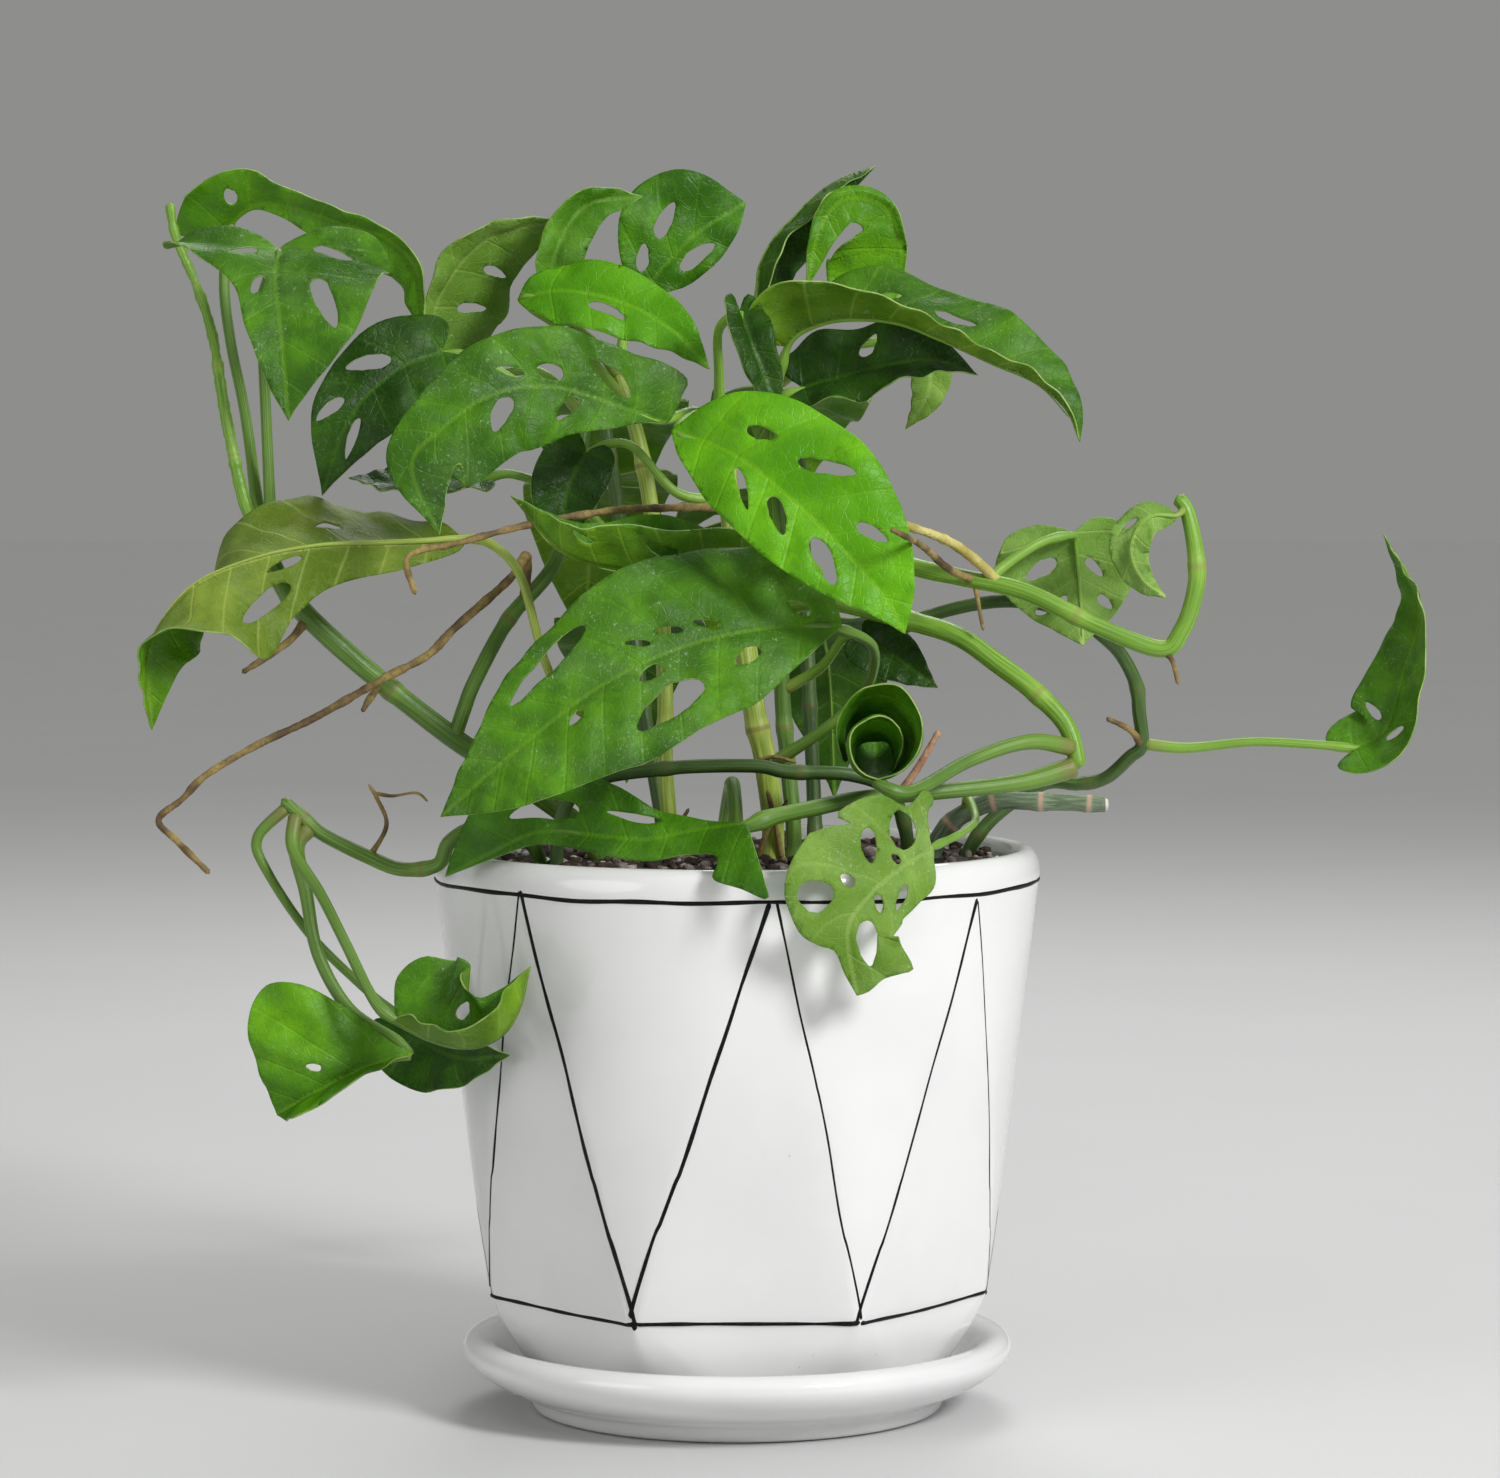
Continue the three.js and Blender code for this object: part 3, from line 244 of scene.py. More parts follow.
# ----------------------------------------
# The painted pattern: a black ceramic pen line drawn by hand over the glaze, along the edges of the
# triangles and round the pot above and below them. It stands just proud, and wavers a little.

LINE_STEP = 2.2
LINE_SUNK = 0.5
EDGE_WIDTH = 1.45
EDGE_OVERRUN = 0.025
NECK_RISE = 5
NECK_LEAN = 0.006
RIM_STEPS = 6
END_SWELL = 0.4
SWELL_REACH = 7
PEN_PRESSURE = 0.3
WAVER = 0.8
WAVER_RATE = 0.035
ROUTE_MARKS = 200
# Widths of the strokes that rise to the left and to the right of each lower corner, and how far each
# overruns it.
STROKE_WIDTHS = [(1.5, 1.35), (0.8, 1.15), (0.65, 0.6), (0.9, 0.7), (0.8, 1.2), (1.1, 0.8), (0.6, 1.0)]
FOOT_OVERRUNS = [(4.4, 0.2), (1.6, 1.8), (1, 1), (0.6, 0.8), (1, 1.5), (1.3, 1), (1.5, -2.5)]
# Height of each upper point over the line round the pot, and the gap there between its two strokes.
POINT_RISES = [3.4, 1.7, -0.6, 1.6, 0.8, 2, 1.4]
POINT_GAPS = [-0.004, 0.014, -0.002, 0.006, 0.002, 0.008, 0.003]
PEN_SEED = 11
pen = random.Random(PEN_SEED)
# The noise that comes as a vector starts from the clock unless it is given a seed.
noise.seed_set(PEN_SEED)


class Route:
    # A smooth curve through points, the same one that the solids follow.
    def __init__(self, points):
        self.points = [2 * points[0] - points[1], *points, 2 * points[-1] - points[-2]]
        marks = [self.at(i / ROUTE_MARKS) for i in range(ROUTE_MARKS + 1)]
        self.reaches = [0.0]
        for a, b in zip(marks, marks[1:]):
            self.reaches.append(self.reaches[-1] + (b - a).length)
        self.length = self.reaches[-1]

    def at(self, share):
        place = min(max(share, 0.0), 1.0) * (len(self.points) - 3)
        step = min(int(place), len(self.points) - 4)
        t = place - step
        a, b, c, d = self.points[step:step + 4]
        return 0.5 * (2 * b + (c - a) * t + (2 * a - 5 * b + 4 * c - d) * t * t
                      + (3 * b - a - 3 * c + d) * t ** 3)

    def share_at(self, part):
        # The curve's own measure at a part of its true length.
        reach = min(max(part, 0.0), 1.0) * self.length
        low, high = 0, ROUTE_MARKS
        while high - low > 1:
            middle = (low + high) // 2
            if self.reaches[middle] <= reach:
                low = middle
            else:
                high = middle
        span = self.reaches[high] - self.reaches[low]
        return (low + (reach - self.reaches[low]) / max(span, 1e-9)) / ROUTE_MARKS

    def along(self, part):
        return self.at(self.share_at(part))

    def heading(self, part):
        share = self.share_at(part)
        return (self.at(min(share + 1e-4, 1)) - self.at(max(share - 1e-4, 0))).normalized()


def tube(shape, route, radius_at, sides, step, spacing=30.0):
    # A closed round tube along a route. Its map runs along the length in spacings, and round it.
    rings = max(5, round(route.length / step))
    centres = [route.along(i / rings) for i in range(rings + 1)]
    side = route.heading(0).orthogonal().normalized()
    frames = []
    for i in range(rings + 1):
        heading = route.heading(i / rings)
        side = (side - heading * side.dot(heading)).normalized()
        frames.append((side, heading.cross(side)))
    chart = shape.loops.layers.uv.verify()
    made = bmesh.ops.create_grid(shape, x_segments=rings, y_segments=sides, size=0.5, calc_uvs=True)
    faces = {face for vert in made["verts"] for face in vert.link_faces}
    for face in faces:
        for loop in face.loops:
            loop[chart].uv = ((loop.vert.co.x + 0.5) * route.length / spacing, loop.vert.co.y + 0.5)
    for vert in made["verts"]:
        ring = round((vert.co.x + 0.5) * rings)
        turn = 2 * math.pi * round((vert.co.y + 0.5) * sides) / sides
        out, over = frames[ring]
        radius = 0 if ring in (0, rings) else radius_at(ring / rings * route.length)
        vert.co = centres[ring] + radius * (math.cos(turn) * out + math.sin(turn) * over)
    bmesh.ops.remove_doubles(shape, verts=made["verts"], dist=FINE_WELD)


def closed(shape):
    bmesh.ops.recalc_face_normals(shape, faces=shape.faces[:])
    return shape


def line_finish():
    material, tree, shader, place = new_finish("black_line")
    grain = clouded(tree, place, 900.0, 4.0)
    ink = mixed(tree, ranged(tree, grain, 0.4, 0.75), (0.002, 0.002, 0.002), (0.014, 0.013, 0.013))
    wire(tree, shader, base_color=ink, roughness=ranged(tree, grain, 0.3, 0.7, 0.35, 0.6),
         normal=bumped(tree, grain, 0.3, 0.0002), specular_ior_level=0.15)
    return material


pot_surface = BVHTree.FromObject(pot, bpy.context.evaluated_depsgraph_get())


def on_pot(point):
    spot, facing, _, _ = pot_surface.find_nearest(point * MM)
    return spot / MM - facing * LINE_SUNK


def pen_stroke(shape, points, width):
    # Points on the pot's wall, joined by a line that wavers and swells as a pen does.
    start = pen.uniform(0, 90)
    path = Route(points)
    count = max(6, round(path.length / LINE_STEP))
    held = []
    for i in range(count + 1):
        point = path.along(i / count)
        waver = noise.noise_vector(point * WAVER_RATE + Vector((start, 0, 0))) * WAVER
        held.append(on_pot(point + waver))

    def radius_at(reach):
        swell = END_SWELL * math.exp(-min(reach, path.length - reach) / SWELL_REACH)
        press = PEN_PRESSURE * noise.noise(Vector((reach * 0.09, start, 0)))
        return math.hypot(LINE_SUNK, width / 2 * (1 + press + swell))

    tube(shape, Route(held), radius_at, sides=8, step=LINE_STEP)


def painted_lines():
    shape = bmesh.new()
    for k in range(SIDES):
        for way, width, over in zip((-1, 1), STROKE_WIDTHS[k], FOOT_OVERRUNS[k]):
            apex = (k + (way > 0)) % SIDES
            corner = corner_point(FOOT_RADIUS, PATTERN_FOOT - over, k)
            neck = corner_point(FOOT_RADIUS, PATTERN_FOOT + NECK_RISE, k + way * NECK_LEAN)
            tip = corner_point(TOP_RADIUS, PATTERN_TOP + POINT_RISES[apex],
                               k + way * (0.5 - POINT_GAPS[apex]) + POINT_SHIFTS[apex])
            pen_stroke(shape, [corner, neck, neck.lerp(tip, 0.3), neck.lerp(tip, 0.7), tip], width)
        left, right = [corner_point(FOOT_RADIUS, PATTERN_FOOT, k + end)
                       for end in (-EDGE_OVERRUN, 1 + EDGE_OVERRUN)]
        middle = left.lerp(right, 0.5)
        pen_stroke(shape, [left, left.lerp(middle, 0.5), middle, right.lerp(middle, 0.5), right], EDGE_WIDTH)
    turns = [SIDES / 2 + i / RIM_STEPS for i in range(RIM_STEPS * SIDES + 1)]
    pen_stroke(shape, [corner_point(TOP_RADIUS, PATTERN_TOP, turn) for turn in turns], EDGE_WIDTH)
    return closed(shape)


add_piece("painted_lines", painted_lines(), [line_finish()])

# ----------------------------------------
# The potting mix: dark peat and fine bark pressed down by watering, with pinkish grey grit, white
# pumice chips and loose bark on top. It fills the pot to just under the lip.

SOIL_PROFILE = [(0, 21.4), (30, 21.4), (60.8, 21.4), (64.4, 25), (78, 104), (90.4, 172), (91.2, 179),
                (90.8, 181.6), (84, 183), (76, 183.7), (66, 184), (58, 184.4), (50, 184.8), (42, 184.8),
                (34, 184.6), (26, 184.4), (18, 184.4), (9, 184.8), (0, 185)]
SOIL_LEVEL = 184.2
SOIL_SWELL = 1.3
SOIL_RADIUS = 91
SOIL_LOOSE_ABOVE = 180
SOIL_CUT_ABOVE = 177
RIM_DIP = 2.2
RIM_SHARE = 0.93
CRUMB_SEED = 5
CRUMB_REACH = 88
CRUMB_FLATNESS = 0.6
# How many crumbs of each kind, and their smallest and largest radius.
CRUMBS = {"bark": (300, 1.1, 3.2), "grit": (260, 0.9, 2.6), "chip": (90, 0.8, 2.0), "stone": (46, 2.2, 3.8)}


def soil_height(x, y):
    return SOIL_LEVEL + SOIL_SWELL * noise.fractal(Vector((x, y, 3.0)) * 0.05, 1.0, 2.0, 4)


def soil_shape():
    shape = turned_shape(SOIL_PROFILE, 96)
    top = [edge for edge in shape.edges if min(vert.co.z for vert in edge.verts) > SOIL_CUT_ABOVE]
    bmesh.ops.subdivide_edges(shape, edges=top, cuts=2, use_grid_fill=True)
    for vert in shape.verts:
        if vert.co.z > SOIL_LOOSE_ABOVE:
            near_wall = max(0, vert.co.xy.length / SOIL_RADIUS - RIM_SHARE) / (1 - RIM_SHARE)
            vert.co.z = soil_height(vert.co.x, vert.co.y) - RIM_DIP * near_wall
    return closed(shape)


def crumb_finish(name, dark, light, rough):
    material, tree, shader, place = new_finish(name)
    patch = clouded(tree, place, 260.0)
    grain = clouded(tree, place, 1400.0, 5.0)
    colour = mixed(tree, ranged(tree, patch, 0.32, 0.68), dark, light)
    wire(tree, shader, base_color=mixed(tree, ranged(tree, grain, 0.35, 0.8, 0, 0.6), colour, dark),
         roughness=ranged(tree, grain, 0.3, 0.7, rough - 0.12, rough),
         normal=bumped(tree, grain, 0.8, 0.0008))
    return material


def crumb_shape(count, small, large, draw):
    shape = bmesh.new()
    for _ in range(count):
        reach = CRUMB_REACH * math.sqrt(draw.random())
        turn = draw.uniform(0, 2 * math.pi)
        x, y = reach * math.cos(turn), reach * math.sin(turn)
        size = draw.uniform(small, large)
        made = bmesh.ops.create_icosphere(shape, subdivisions=1, radius=size)
        for vert in made["verts"]:
            vert.co *= draw.uniform(0.75, 1.2)
        bmesh.ops.scale(shape, vec=(1, draw.uniform(0.45, 0.95), CRUMB_FLATNESS), verts=made["verts"])
        tilt = Matrix.Rotation(draw.uniform(-0.5, 0.5), 3, "X")
        tilt = tilt @ Matrix.Rotation(draw.uniform(0, 6.28), 3, "Z")
        bmesh.ops.rotate(shape, cent=(0, 0, 0), matrix=tilt, verts=made["verts"])
        bmesh.ops.translate(shape, vec=(x, y, soil_height(x, y) + 0.25 * size), verts=made["verts"])
    return shape


potting_mix = crumb_finish("potting_mix", (0.012, 0.009, 0.008), (0.055, 0.04, 0.032), 0.98)
add_piece("potting_mix", soil_shape(), [potting_mix], "soil")
crumb_draw = random.Random(CRUMB_SEED)
CRUMB_FINISHES = {
    "bark": crumb_finish("bark_crumbs", (0.02, 0.012, 0.008), (0.11, 0.065, 0.04), 0.95),
    "grit": crumb_finish("pink_grit", (0.12, 0.085, 0.08), (0.3, 0.24, 0.22), 0.92),
    "chip": crumb_finish("white_chips", (0.4, 0.38, 0.36), (0.75, 0.73, 0.7), 0.9),
    "stone": crumb_finish("pink_stones", (0.2, 0.15, 0.14), (0.5, 0.42, 0.38), 0.9),
}
for kind, (count, small, large) in CRUMBS.items():
    crumbs = crumb_shape(count, small, large, crumb_draw)
    add_piece(f"{kind}_on_top", crumbs, [CRUMB_FINISHES[kind]])

# ----------------------------------------
# The vines: smooth waxy stems that root in the mix, thicken at every joint where a leaf grew, and
# carry a thin brown ring there. Old stretches turn dull and grey, young ones are bright.

VIEW_DISTANCE = 1725
VIEW_HEIGHT = 326
JOINT_SPACING = 44.0
JOINT_REACH = 2.2
GROOVE_REACH = 0.7
TIP_LENGTH = 30
TIP_TAPER = 0.18


def seen(across, up, depth):
    # A point as it shows from the front: across and up on the plane of the pot's axis, and its depth.
    spread = (VIEW_DISTANCE + depth) / VIEW_DISTANCE
    return Vector((across * spread, depth, VIEW_HEIGHT + (up - VIEW_HEIGHT) * spread))


def dust_group():
    # Dried water marks and dust: a mask of small broken flecks over faint clouds.
    tree = bpy.data.node_groups.new("dust", "ShaderNodeTree")
    tree.interface.new_socket("Place", in_out="INPUT", socket_type="NodeSocketVector")
    amount = tree.interface.new_socket("Amount", in_out="INPUT", socket_type="NodeSocketFloat")
    amount.default_value = 0.5
    tree.interface.new_socket("Mask", in_out="OUTPUT", socket_type="NodeSocketFloat")
    given = node(tree, "NodeGroupInput")
    clouds = clouded(tree, given.outputs["Place"], 60.0, 4.0)
    broken = {"Vector": given.outputs["Place"], "Scale": 900.0, "Detail": 5.0, "Roughness": 0.75,
              "Distortion": 0.6}
    flecks = node(tree, "ShaderNodeTexNoise", broken).outputs[0]
    soft = ranged(tree, clouds, 0.45, 0.8, 0.0, 0.1)
    sharp = times(tree, ranged(tree, flecks, 0.57, 0.7), ranged(tree, clouds, 0.36, 0.62))
    mask = times(tree, worked(tree, "ADD", soft, sharp), given.outputs["Amount"])
    node(tree, "NodeGroupOutput", {"Mask": mask})
    return tree


dust = dust_group()


def dusted(tree, place, amount):
    return node(tree, "ShaderNodeGroup", {"Place": place, "Amount": amount}, node_tree=dust).outputs["Mask"]


def mapped(tree, **settings):
    # The two readings of a piece's own map, and a third that is always nought.
    chart = node(tree, "ShaderNodeUVMap", **settings).outputs[0]
    return node(tree, "ShaderNodeSeparateXYZ", {0: chart}).outputs


def stem_finish(name, dark, light, ring, age, ring_strength=0.55, ring_width=0.028):
    material, tree, shader, place = new_finish(name)
    length, around, _ = mapped(tree)
    stretched = {0: times(tree, length, 1.2), 1: times(tree, around, 14.0)}
    streak_place = node(tree, "ShaderNodeCombineXYZ", stretched).outputs[0]
    streaks = clouded(tree, streak_place, 1.6)
    patches = clouded(tree, place, 45.0)
    fine = clouded(tree, place, 900.0)
    from_joint = worked(tree, "PINGPONG", length, 0.5)
    joint = ranged(tree, from_joint, 0.3 * ring_width, ring_width, 1.0, 0.0)
    near_joint = ranged(tree, from_joint, 0.02, 0.13, 0.5, 0.0)
    body = mixed(tree, ranged(tree, streaks, 0.35, 0.7), dark, light)
    body = mixed(tree, ranged(tree, patches, 0.35, 0.7, 0.0, 0.55), body, dark)
    body = mixed(tree, near_joint, body, light)
    body = mixed(tree, times(tree, joint, ring_strength), body, ring)
    body = mixed(tree, dusted(tree, place, age), body, (0.32, 0.33, 0.25))
    relief = worked(tree, "ADD", streaks, times(tree, fine, 0.3))
    wire(tree, shader, base_color=body, normal=bumped(tree, relief, 0.35, 0.0005),
         roughness=ranged(tree, fine, 0.3, 0.7, 0.34 + 0.3 * age, 0.46 + 0.4 * age),
         subsurface_weight=0.08, subsurface_radius=(0.002, 0.004, 0.001), subsurface_scale=0.5)
    return material


STEM_FINISHES = {
    "green": stem_finish("green_stem", (0.06, 0.15, 0.012), (0.17, 0.31, 0.035), (0.2, 0.14, 0.05), 0.25),
    "bright": stem_finish("bright_stem", (0.11, 0.26, 0.014), (0.26, 0.46, 0.05), (0.25, 0.26, 0.06), 0.12),
    "yellow": stem_finish("yellow_stem", (0.22, 0.33, 0.03), (0.48, 0.56, 0.11), (0.2, 0.11, 0.04), 0.2),
    "dark": stem_finish("dark_stem", (0.03, 0.075, 0.01), (0.085, 0.17, 0.025), (0.13, 0.1, 0.04), 0.35),
    "old": stem_finish("old_stem", (0.09, 0.14, 0.075), (0.24, 0.31, 0.19), (0.5, 0.32, 0.23), 0.7,
                       ring_strength=0.95, ring_width=0.07),
}
vine_routes = {}


def jointed(radius, length, spacing, plumpness, seed):
    # A stem's radius along its length: swollen at each joint, a little uneven, and tapered at the tip.
    def radius_at(reach):
        off = abs(reach / spacing - round(reach / spacing)) * spacing
        swell = plumpness * (math.exp(-(off / JOINT_REACH) ** 2) - 0.3 * math.exp(-(off / GROOVE_REACH) ** 2))
        tip = min(1.0, 1 - TIP_TAPER + TIP_TAPER * (length - reach) / TIP_LENGTH)
        return radius * tip * (1 + swell + 0.05 * noise.noise(Vector((reach * 0.05, seed, 0))))
    return radius_at


def on_vine(start):
    carrier, share = start
    return vine_routes[carrier].at(share)


def grown_route(points, start):
    # A route through points seen from the front, from the vine that carries it if there is one.
    placed = [seen(*point) for point in points]
    return Route([on_vine(start), *placed] if start else placed)


def vine(name, look, radius, points, start=None, plumpness=0.16, spacing=JOINT_SPACING):
    route = vine_routes[name] = grown_route(points, start)
    shape = bmesh.new()
    tube(shape, route, jointed(radius, route.length, spacing, plumpness, len(name)), sides=14, step=1.3,
         spacing=spacing)
    add_piece(f"{name}_stem", closed(shape), [STEM_FINISHES[look]], name)


vine("vine_left", "green", 3.5, [(-38, 145, 2), (-46, 186, 0), (-70, 208, -8), (-94, 224, -14),
     (-122, 246, -16), (-143, 265, -18), (-152, 277, -18), (-160, 296, -16)])
vine("vine_left_inner", "green", 2.5, [(-91, 234, -16), (-87, 244, -16), (-76, 264, -14), (-61, 282, -8),
     (-54, 305, 2), (-50, 334, 10)], start=("vine_left", 0.43))
vine("stem_centre", "yellow", 3.8, [(8, 140, -8), (12, 188, -10), (9.7, 215, -12), (6, 232, -12),
     (2, 262, -8), (-2, 300, -6), (-6, 330, -4)])
vine("stem_centre_left", "yellow", 2.7, [(-20, 140, 0), (-22, 188, 0), (-24, 215, 2), (-24, 240, 4),
     (-26, 280, 8), (-32, 320, 12), (-40, 346, 14)])
vine("stem_centre_right", "green", 2.7, [(18, 140, 4), (19, 188, 4), (17, 215, 6), (15, 240, 8),
     (14, 280, 8), (12, 320, 6), (13, 348, 4)])
vine("vine_lying", "dark", 2.3, [(-58, 150, -34), (-60, 188, -36), (-52, 208, -34), (-25, 214, -32),
     (5, 215, -32), (17, 213, -32), (38, 212, -30), (51, 206, -26), (57, 188, -20), (57, 150, -16)])
vine("vine_arching", "bright", 3.3, [(31, 270, -6), (59, 263, -22), (74, 258, -28), (87, 249, -33),
     (100, 239, -38), (110, 228, -42), (114, 214, -44)], start=("stem_centre_right", 0.62), plumpness=0.1,
     spacing=52.0)
vine("vine_low_loop", "dark", 2.3, [(70, 150, 14), (78, 188, 14), (100, 208, 16), (114, 209, 14),
     (123, 211, 10), (131, 218, 4), (135, 222, 2), (134, 233, 0), (133, 242, -2), (128, 252, -6),
     (121, 259, -10), (110, 267, -8), (88, 270, -4), (64, 265, 2), (48, 256, 10)])
vine("vine_bright", "bright", 2.9, [(35, 291, -12), (57, 282, -26), (74, 278, -32), (96, 273, -36),
     (119, 262, -40), (141, 254, -42), (148, 260, -43), (152, 271, -43), (153, 282, -43), (150, 299, -42),
     (146, 305, -41)], start=("stem_centre_right", 0.8), plumpness=0.12, spacing=61.0)
vine("vine_cut", "old", 3.1, [(60, 150, -6), (66, 188, -8), (82, 202, -10), (102, 203, -12),
     (124, 202, -14)], spacing=16.0)
vine("vine_trailing", "green", 2.4, [(-64, 150, -24), (-66, 184, -28), (-76, 193, -36), (-87, 194.5, -43),
     (-96, 189.5, -44), (-100, 182, -42), (-112, 180.5, -38), (-124, 185, -36), (-138, 192, -36),
     (-144, 197, -36), (-152, 204, -36)])
vine("vine_back_left", "dark", 2.5, [(-22, 150, 24), (-24, 188, 30), (-32, 240, 44), (-38, 290, 56),
     (-44, 330, 60)])
vine("vine_back_right", "dark", 2.5, [(24, 150, 26), (26, 188, 34), (24, 240, 50), (22, 290, 58),
     (20, 330, 58)])
vine("vine_back_trailing", "green", 2.5, [(0, 150, 44), (0, 186, 52), (-1, 206, 82), (-2, 208, 100),
     (-4, 196, 112), (-6, 176, 120), (-6, 160, 126)])

# ----------------------------------------
# Air roots and stubs: dry brown threads that grow from the joints, knobbly where they branched. With
# them come a dried sheath, the pale end of the cut stem and one tall bare green shoot on the left.


def root_finish(name, dark, light):
    material, tree, shader, place = new_finish(name)
    patch = clouded(tree, place, 110.0, 4.0)
    fibre = clouded(tree, place, 800.0, 5.0)
    colour = mixed(tree, ranged(tree, patch, 0.34, 0.66), dark, light)
    wire(tree, shader, base_color=mixed(tree, ranged(tree, fibre, 0.4, 0.75, 0, 0.5), colour, dark),
         roughness=ranged(tree, patch, 0.3, 0.7, 0.7, 0.92), normal=bumped(tree, fibre, 0.7, 0.0006))
    return material


brown_root = root_finish("brown_root", (0.085, 0.05, 0.018), (0.34, 0.25, 0.08))
pink_stub = root_finish("pink_stub", (0.3, 0.13, 0.07), (0.55, 0.33, 0.2))
dry_sheath = root_finish("dry_sheath", (0.36, 0.3, 0.06), (0.62, 0.55, 0.2))
pale_cut = root_finish("pale_cut", (0.42, 0.36, 0.33), (0.7, 0.62, 0.58))


ROOT_TAPER = 0.35
ROOT_LUMPS = 0.32


def knobbly(radius, length, seed):
    def radius_at(reach):
        lump = noise.noise(Vector((reach * 0.16, seed, 0)))
        lump += 0.6 * noise.noise(Vector((reach * 0.5, seed, 4)))
        return radius * (1 - ROOT_TAPER * reach / length) * (1 + ROOT_LUMPS * lump)
    return radius_at


def root(name, radius, points, start=None, replaced=None, finish=brown_root):
    route = grown_route(points, start)
    shape = bmesh.new()
    tube(shape, route, knobbly(radius, route.length, len(name)), sides=10, step=0.9)
    add_piece(name, closed(shape), [finish], replaced)


root("long_air_root", 1.6, [(-70, 285, -22), (-76, 277, -27), (-94, 261, -30), (-103, 252, -32),
     (-118, 244, -34), (-141, 231, -38), (-160, 222, -42), (-177, 212, -46), (-185, 204, -48),
     (-193, 197, -50), (-187, 190, -52), (-176, 179, -54)], start=("vine_left_inner", 0.56),
     replaced="root_long")
root("upper_air_root", 1.5, [(-22, 301, -26), (-42, 300, -44), (-71, 295, -60), (-94, 289, -70),
     (-105, 287, -76), (-110, 283, -80), (-107, 272, -80)], start=("stem_centre", 0.84),
     replaced="root_upper")
root("stub_left_low", 1.5, [(-143, 264, -18), (-150, 256, -24), (-165, 246, -30)])
root("stub_left_high", 1.4, [(-118, 243, -16), (-122, 238, -22), (-125, 233, -28)])
root("stub_lying", 1.5, [(52, 203, -26), (60, 214, -28), (67.5, 227, -28)], finish=pink_stub)
root("stub_low_loop", 1.3, [(135, 222, 2), (131, 227, -4), (123, 231, -8)])
root("stub_bright_tip", 1.0, [(141, 254, -42), (145, 250, -44), (147, 242, -45)])
root("stub_bright_root", 1.4, [(78, 277, -33), (70, 281, -56), (62, 288, -78), (57, 291, -101),
     (51, 294, -108)])
root("dry_sheath", 1.9, [(88, 275, -34), (80, 283, -38), (70, 290, -44), (56, 295, -48), (42, 298, -50)],
     finish=dry_sheath)
root("stub_centre", 0.8, [(7, 217, -15), (13, 218, -18), (20, 216, -19)])
root("twig_front", 1.1, [(15, 184, -14), (13, 195, -16), (10, 207, -17)])
root("twig_side", 0.9, [(7, 184, -15), (10, 193, -17), (17, 204, -18)])
root("twig_left", 0.9, [(-19, 184, -6), (-20, 193, -8), (-16, 201, -9)])
root("stub_hanging", 0.9, [(79, 277, -32), (80, 271, -35), (82, 260, -36)])
root("stub_trailing_side", 0.6, [(-121, 206, -34), (-115, 205, -34), (-107, 206, -34), (-103, 203, -34)])
root("cut_end", 2.7, [(122.4, 202, -14), (123.2, 202, -14), (124, 202, -14)], finish=pale_cut)
root("stub_trailing", 0.9, [(-123, 184, -36), (-117, 195, -34), (-120, 204, -34), (-123, 209, -34)])
root("left_shoot", 2.2, [(-158, 290, -16), (-164, 304, -18), (-170, 333, -14), (-174, 358, -8),
     (-179, 374, -4), (-186, 391, -4), (-188, 402, -4)], finish=STEM_FINISHES["bright"])

# ----------------------------------------
# The leaves: thin leathery blades, holed between their side veins, on long smooth stalks. Young ones
# are bright and glossy, old ones are darker under a bloom of dust. The underside is paler, and the
# midrib stands out of it as a round cord.

BLADE_THICKNESS = 0.5
BLADE_STEP = 2.0
VIEWER = Vector((0, -1, 0))
UP = Vector((0, 0, 1))
WAVES = 2.5
# Half-outlines from the stalk to the tip: shares of the length, and of the half-width.
OUTLINES = {
    "heart": [(0, 0), (-0.055, 0.2), (-0.09, 0.48), (-0.01, 0.84), (0.22, 1), (0.46, 0.92),
              (0.68, 0.64), (0.84, 0.32), (0.94, 0.11), (1, 0)],
    "oval": [(0, 0), (0.02, 0.16), (0.07, 0.44), (0.2, 0.84), (0.38, 1), (0.57, 0.93),
             (0.75, 0.68), (0.88, 0.36), (0.95, 0.15), (1, 0)],
    "lobed": [(0, 0), (-0.08, 0.22), (-0.12, 0.6), (-0.02, 0.95), (0.12, 1), (0.25, 0.72),
              (0.38, 0.38), (0.62, 0.3), (0.85, 0.16), (1, 0)],
    "late": [(0, 0), (0.03, 0.13), (0.14, 0.26), (0.3, 0.42), (0.42, 0.7), (0.54, 1),
             (0.67, 0.92), (0.8, 0.5), (0.91, 0.2), (1, 0)],
    "hung": [(0, 0), (-0.03, 0.2), (-0.07, 0.5), (-0.1, 0.8), (-0.11, 1), (-0.03, 0.86),
             (0.07, 0.68), (0.06, 0.5), (0.11, 0.34), (0.34, 0.24), (0.68, 0.13), (1, 0)],
    "torn": [(0, 0), (0.03, 0.1), (-0.02, 0.42), (-0.07, 0.47), (-0.03, 0.66), (0.12, 0.6),
             (0.22, 0.86), (0.31, 0.95), (0.4, 0.95), (0.38, 0.77), (0.43, 0.88), (0.49, 0.98),
             (0.58, 0.94), (0.64, 0.84), (0.68, 0.67), (0.72, 0.5), (0.75, 0.31), (0.78, 0.15),
             (0.89, 0.09), (1, 0)],
    "ragged": [(0, 0), (0.04, 0.19), (0.05, 0.34), (0.1, 0.56), (0.26, 0.64), (0.43, 0.66),
               (0.49, 0.71), (0.77, 0.82), (0.93, 0.95), (0.94, 0.8), (0.95, 0.45), (0.99, 0.18), (1, 0)],
}
OVAL = ("oval", "oval")
HOLE_POINTS = 20
VEIN_SPACING = 13
VEIN_LEAN = 0.15
RIB_END = 0.93
RIB_LENGTH = 0.91
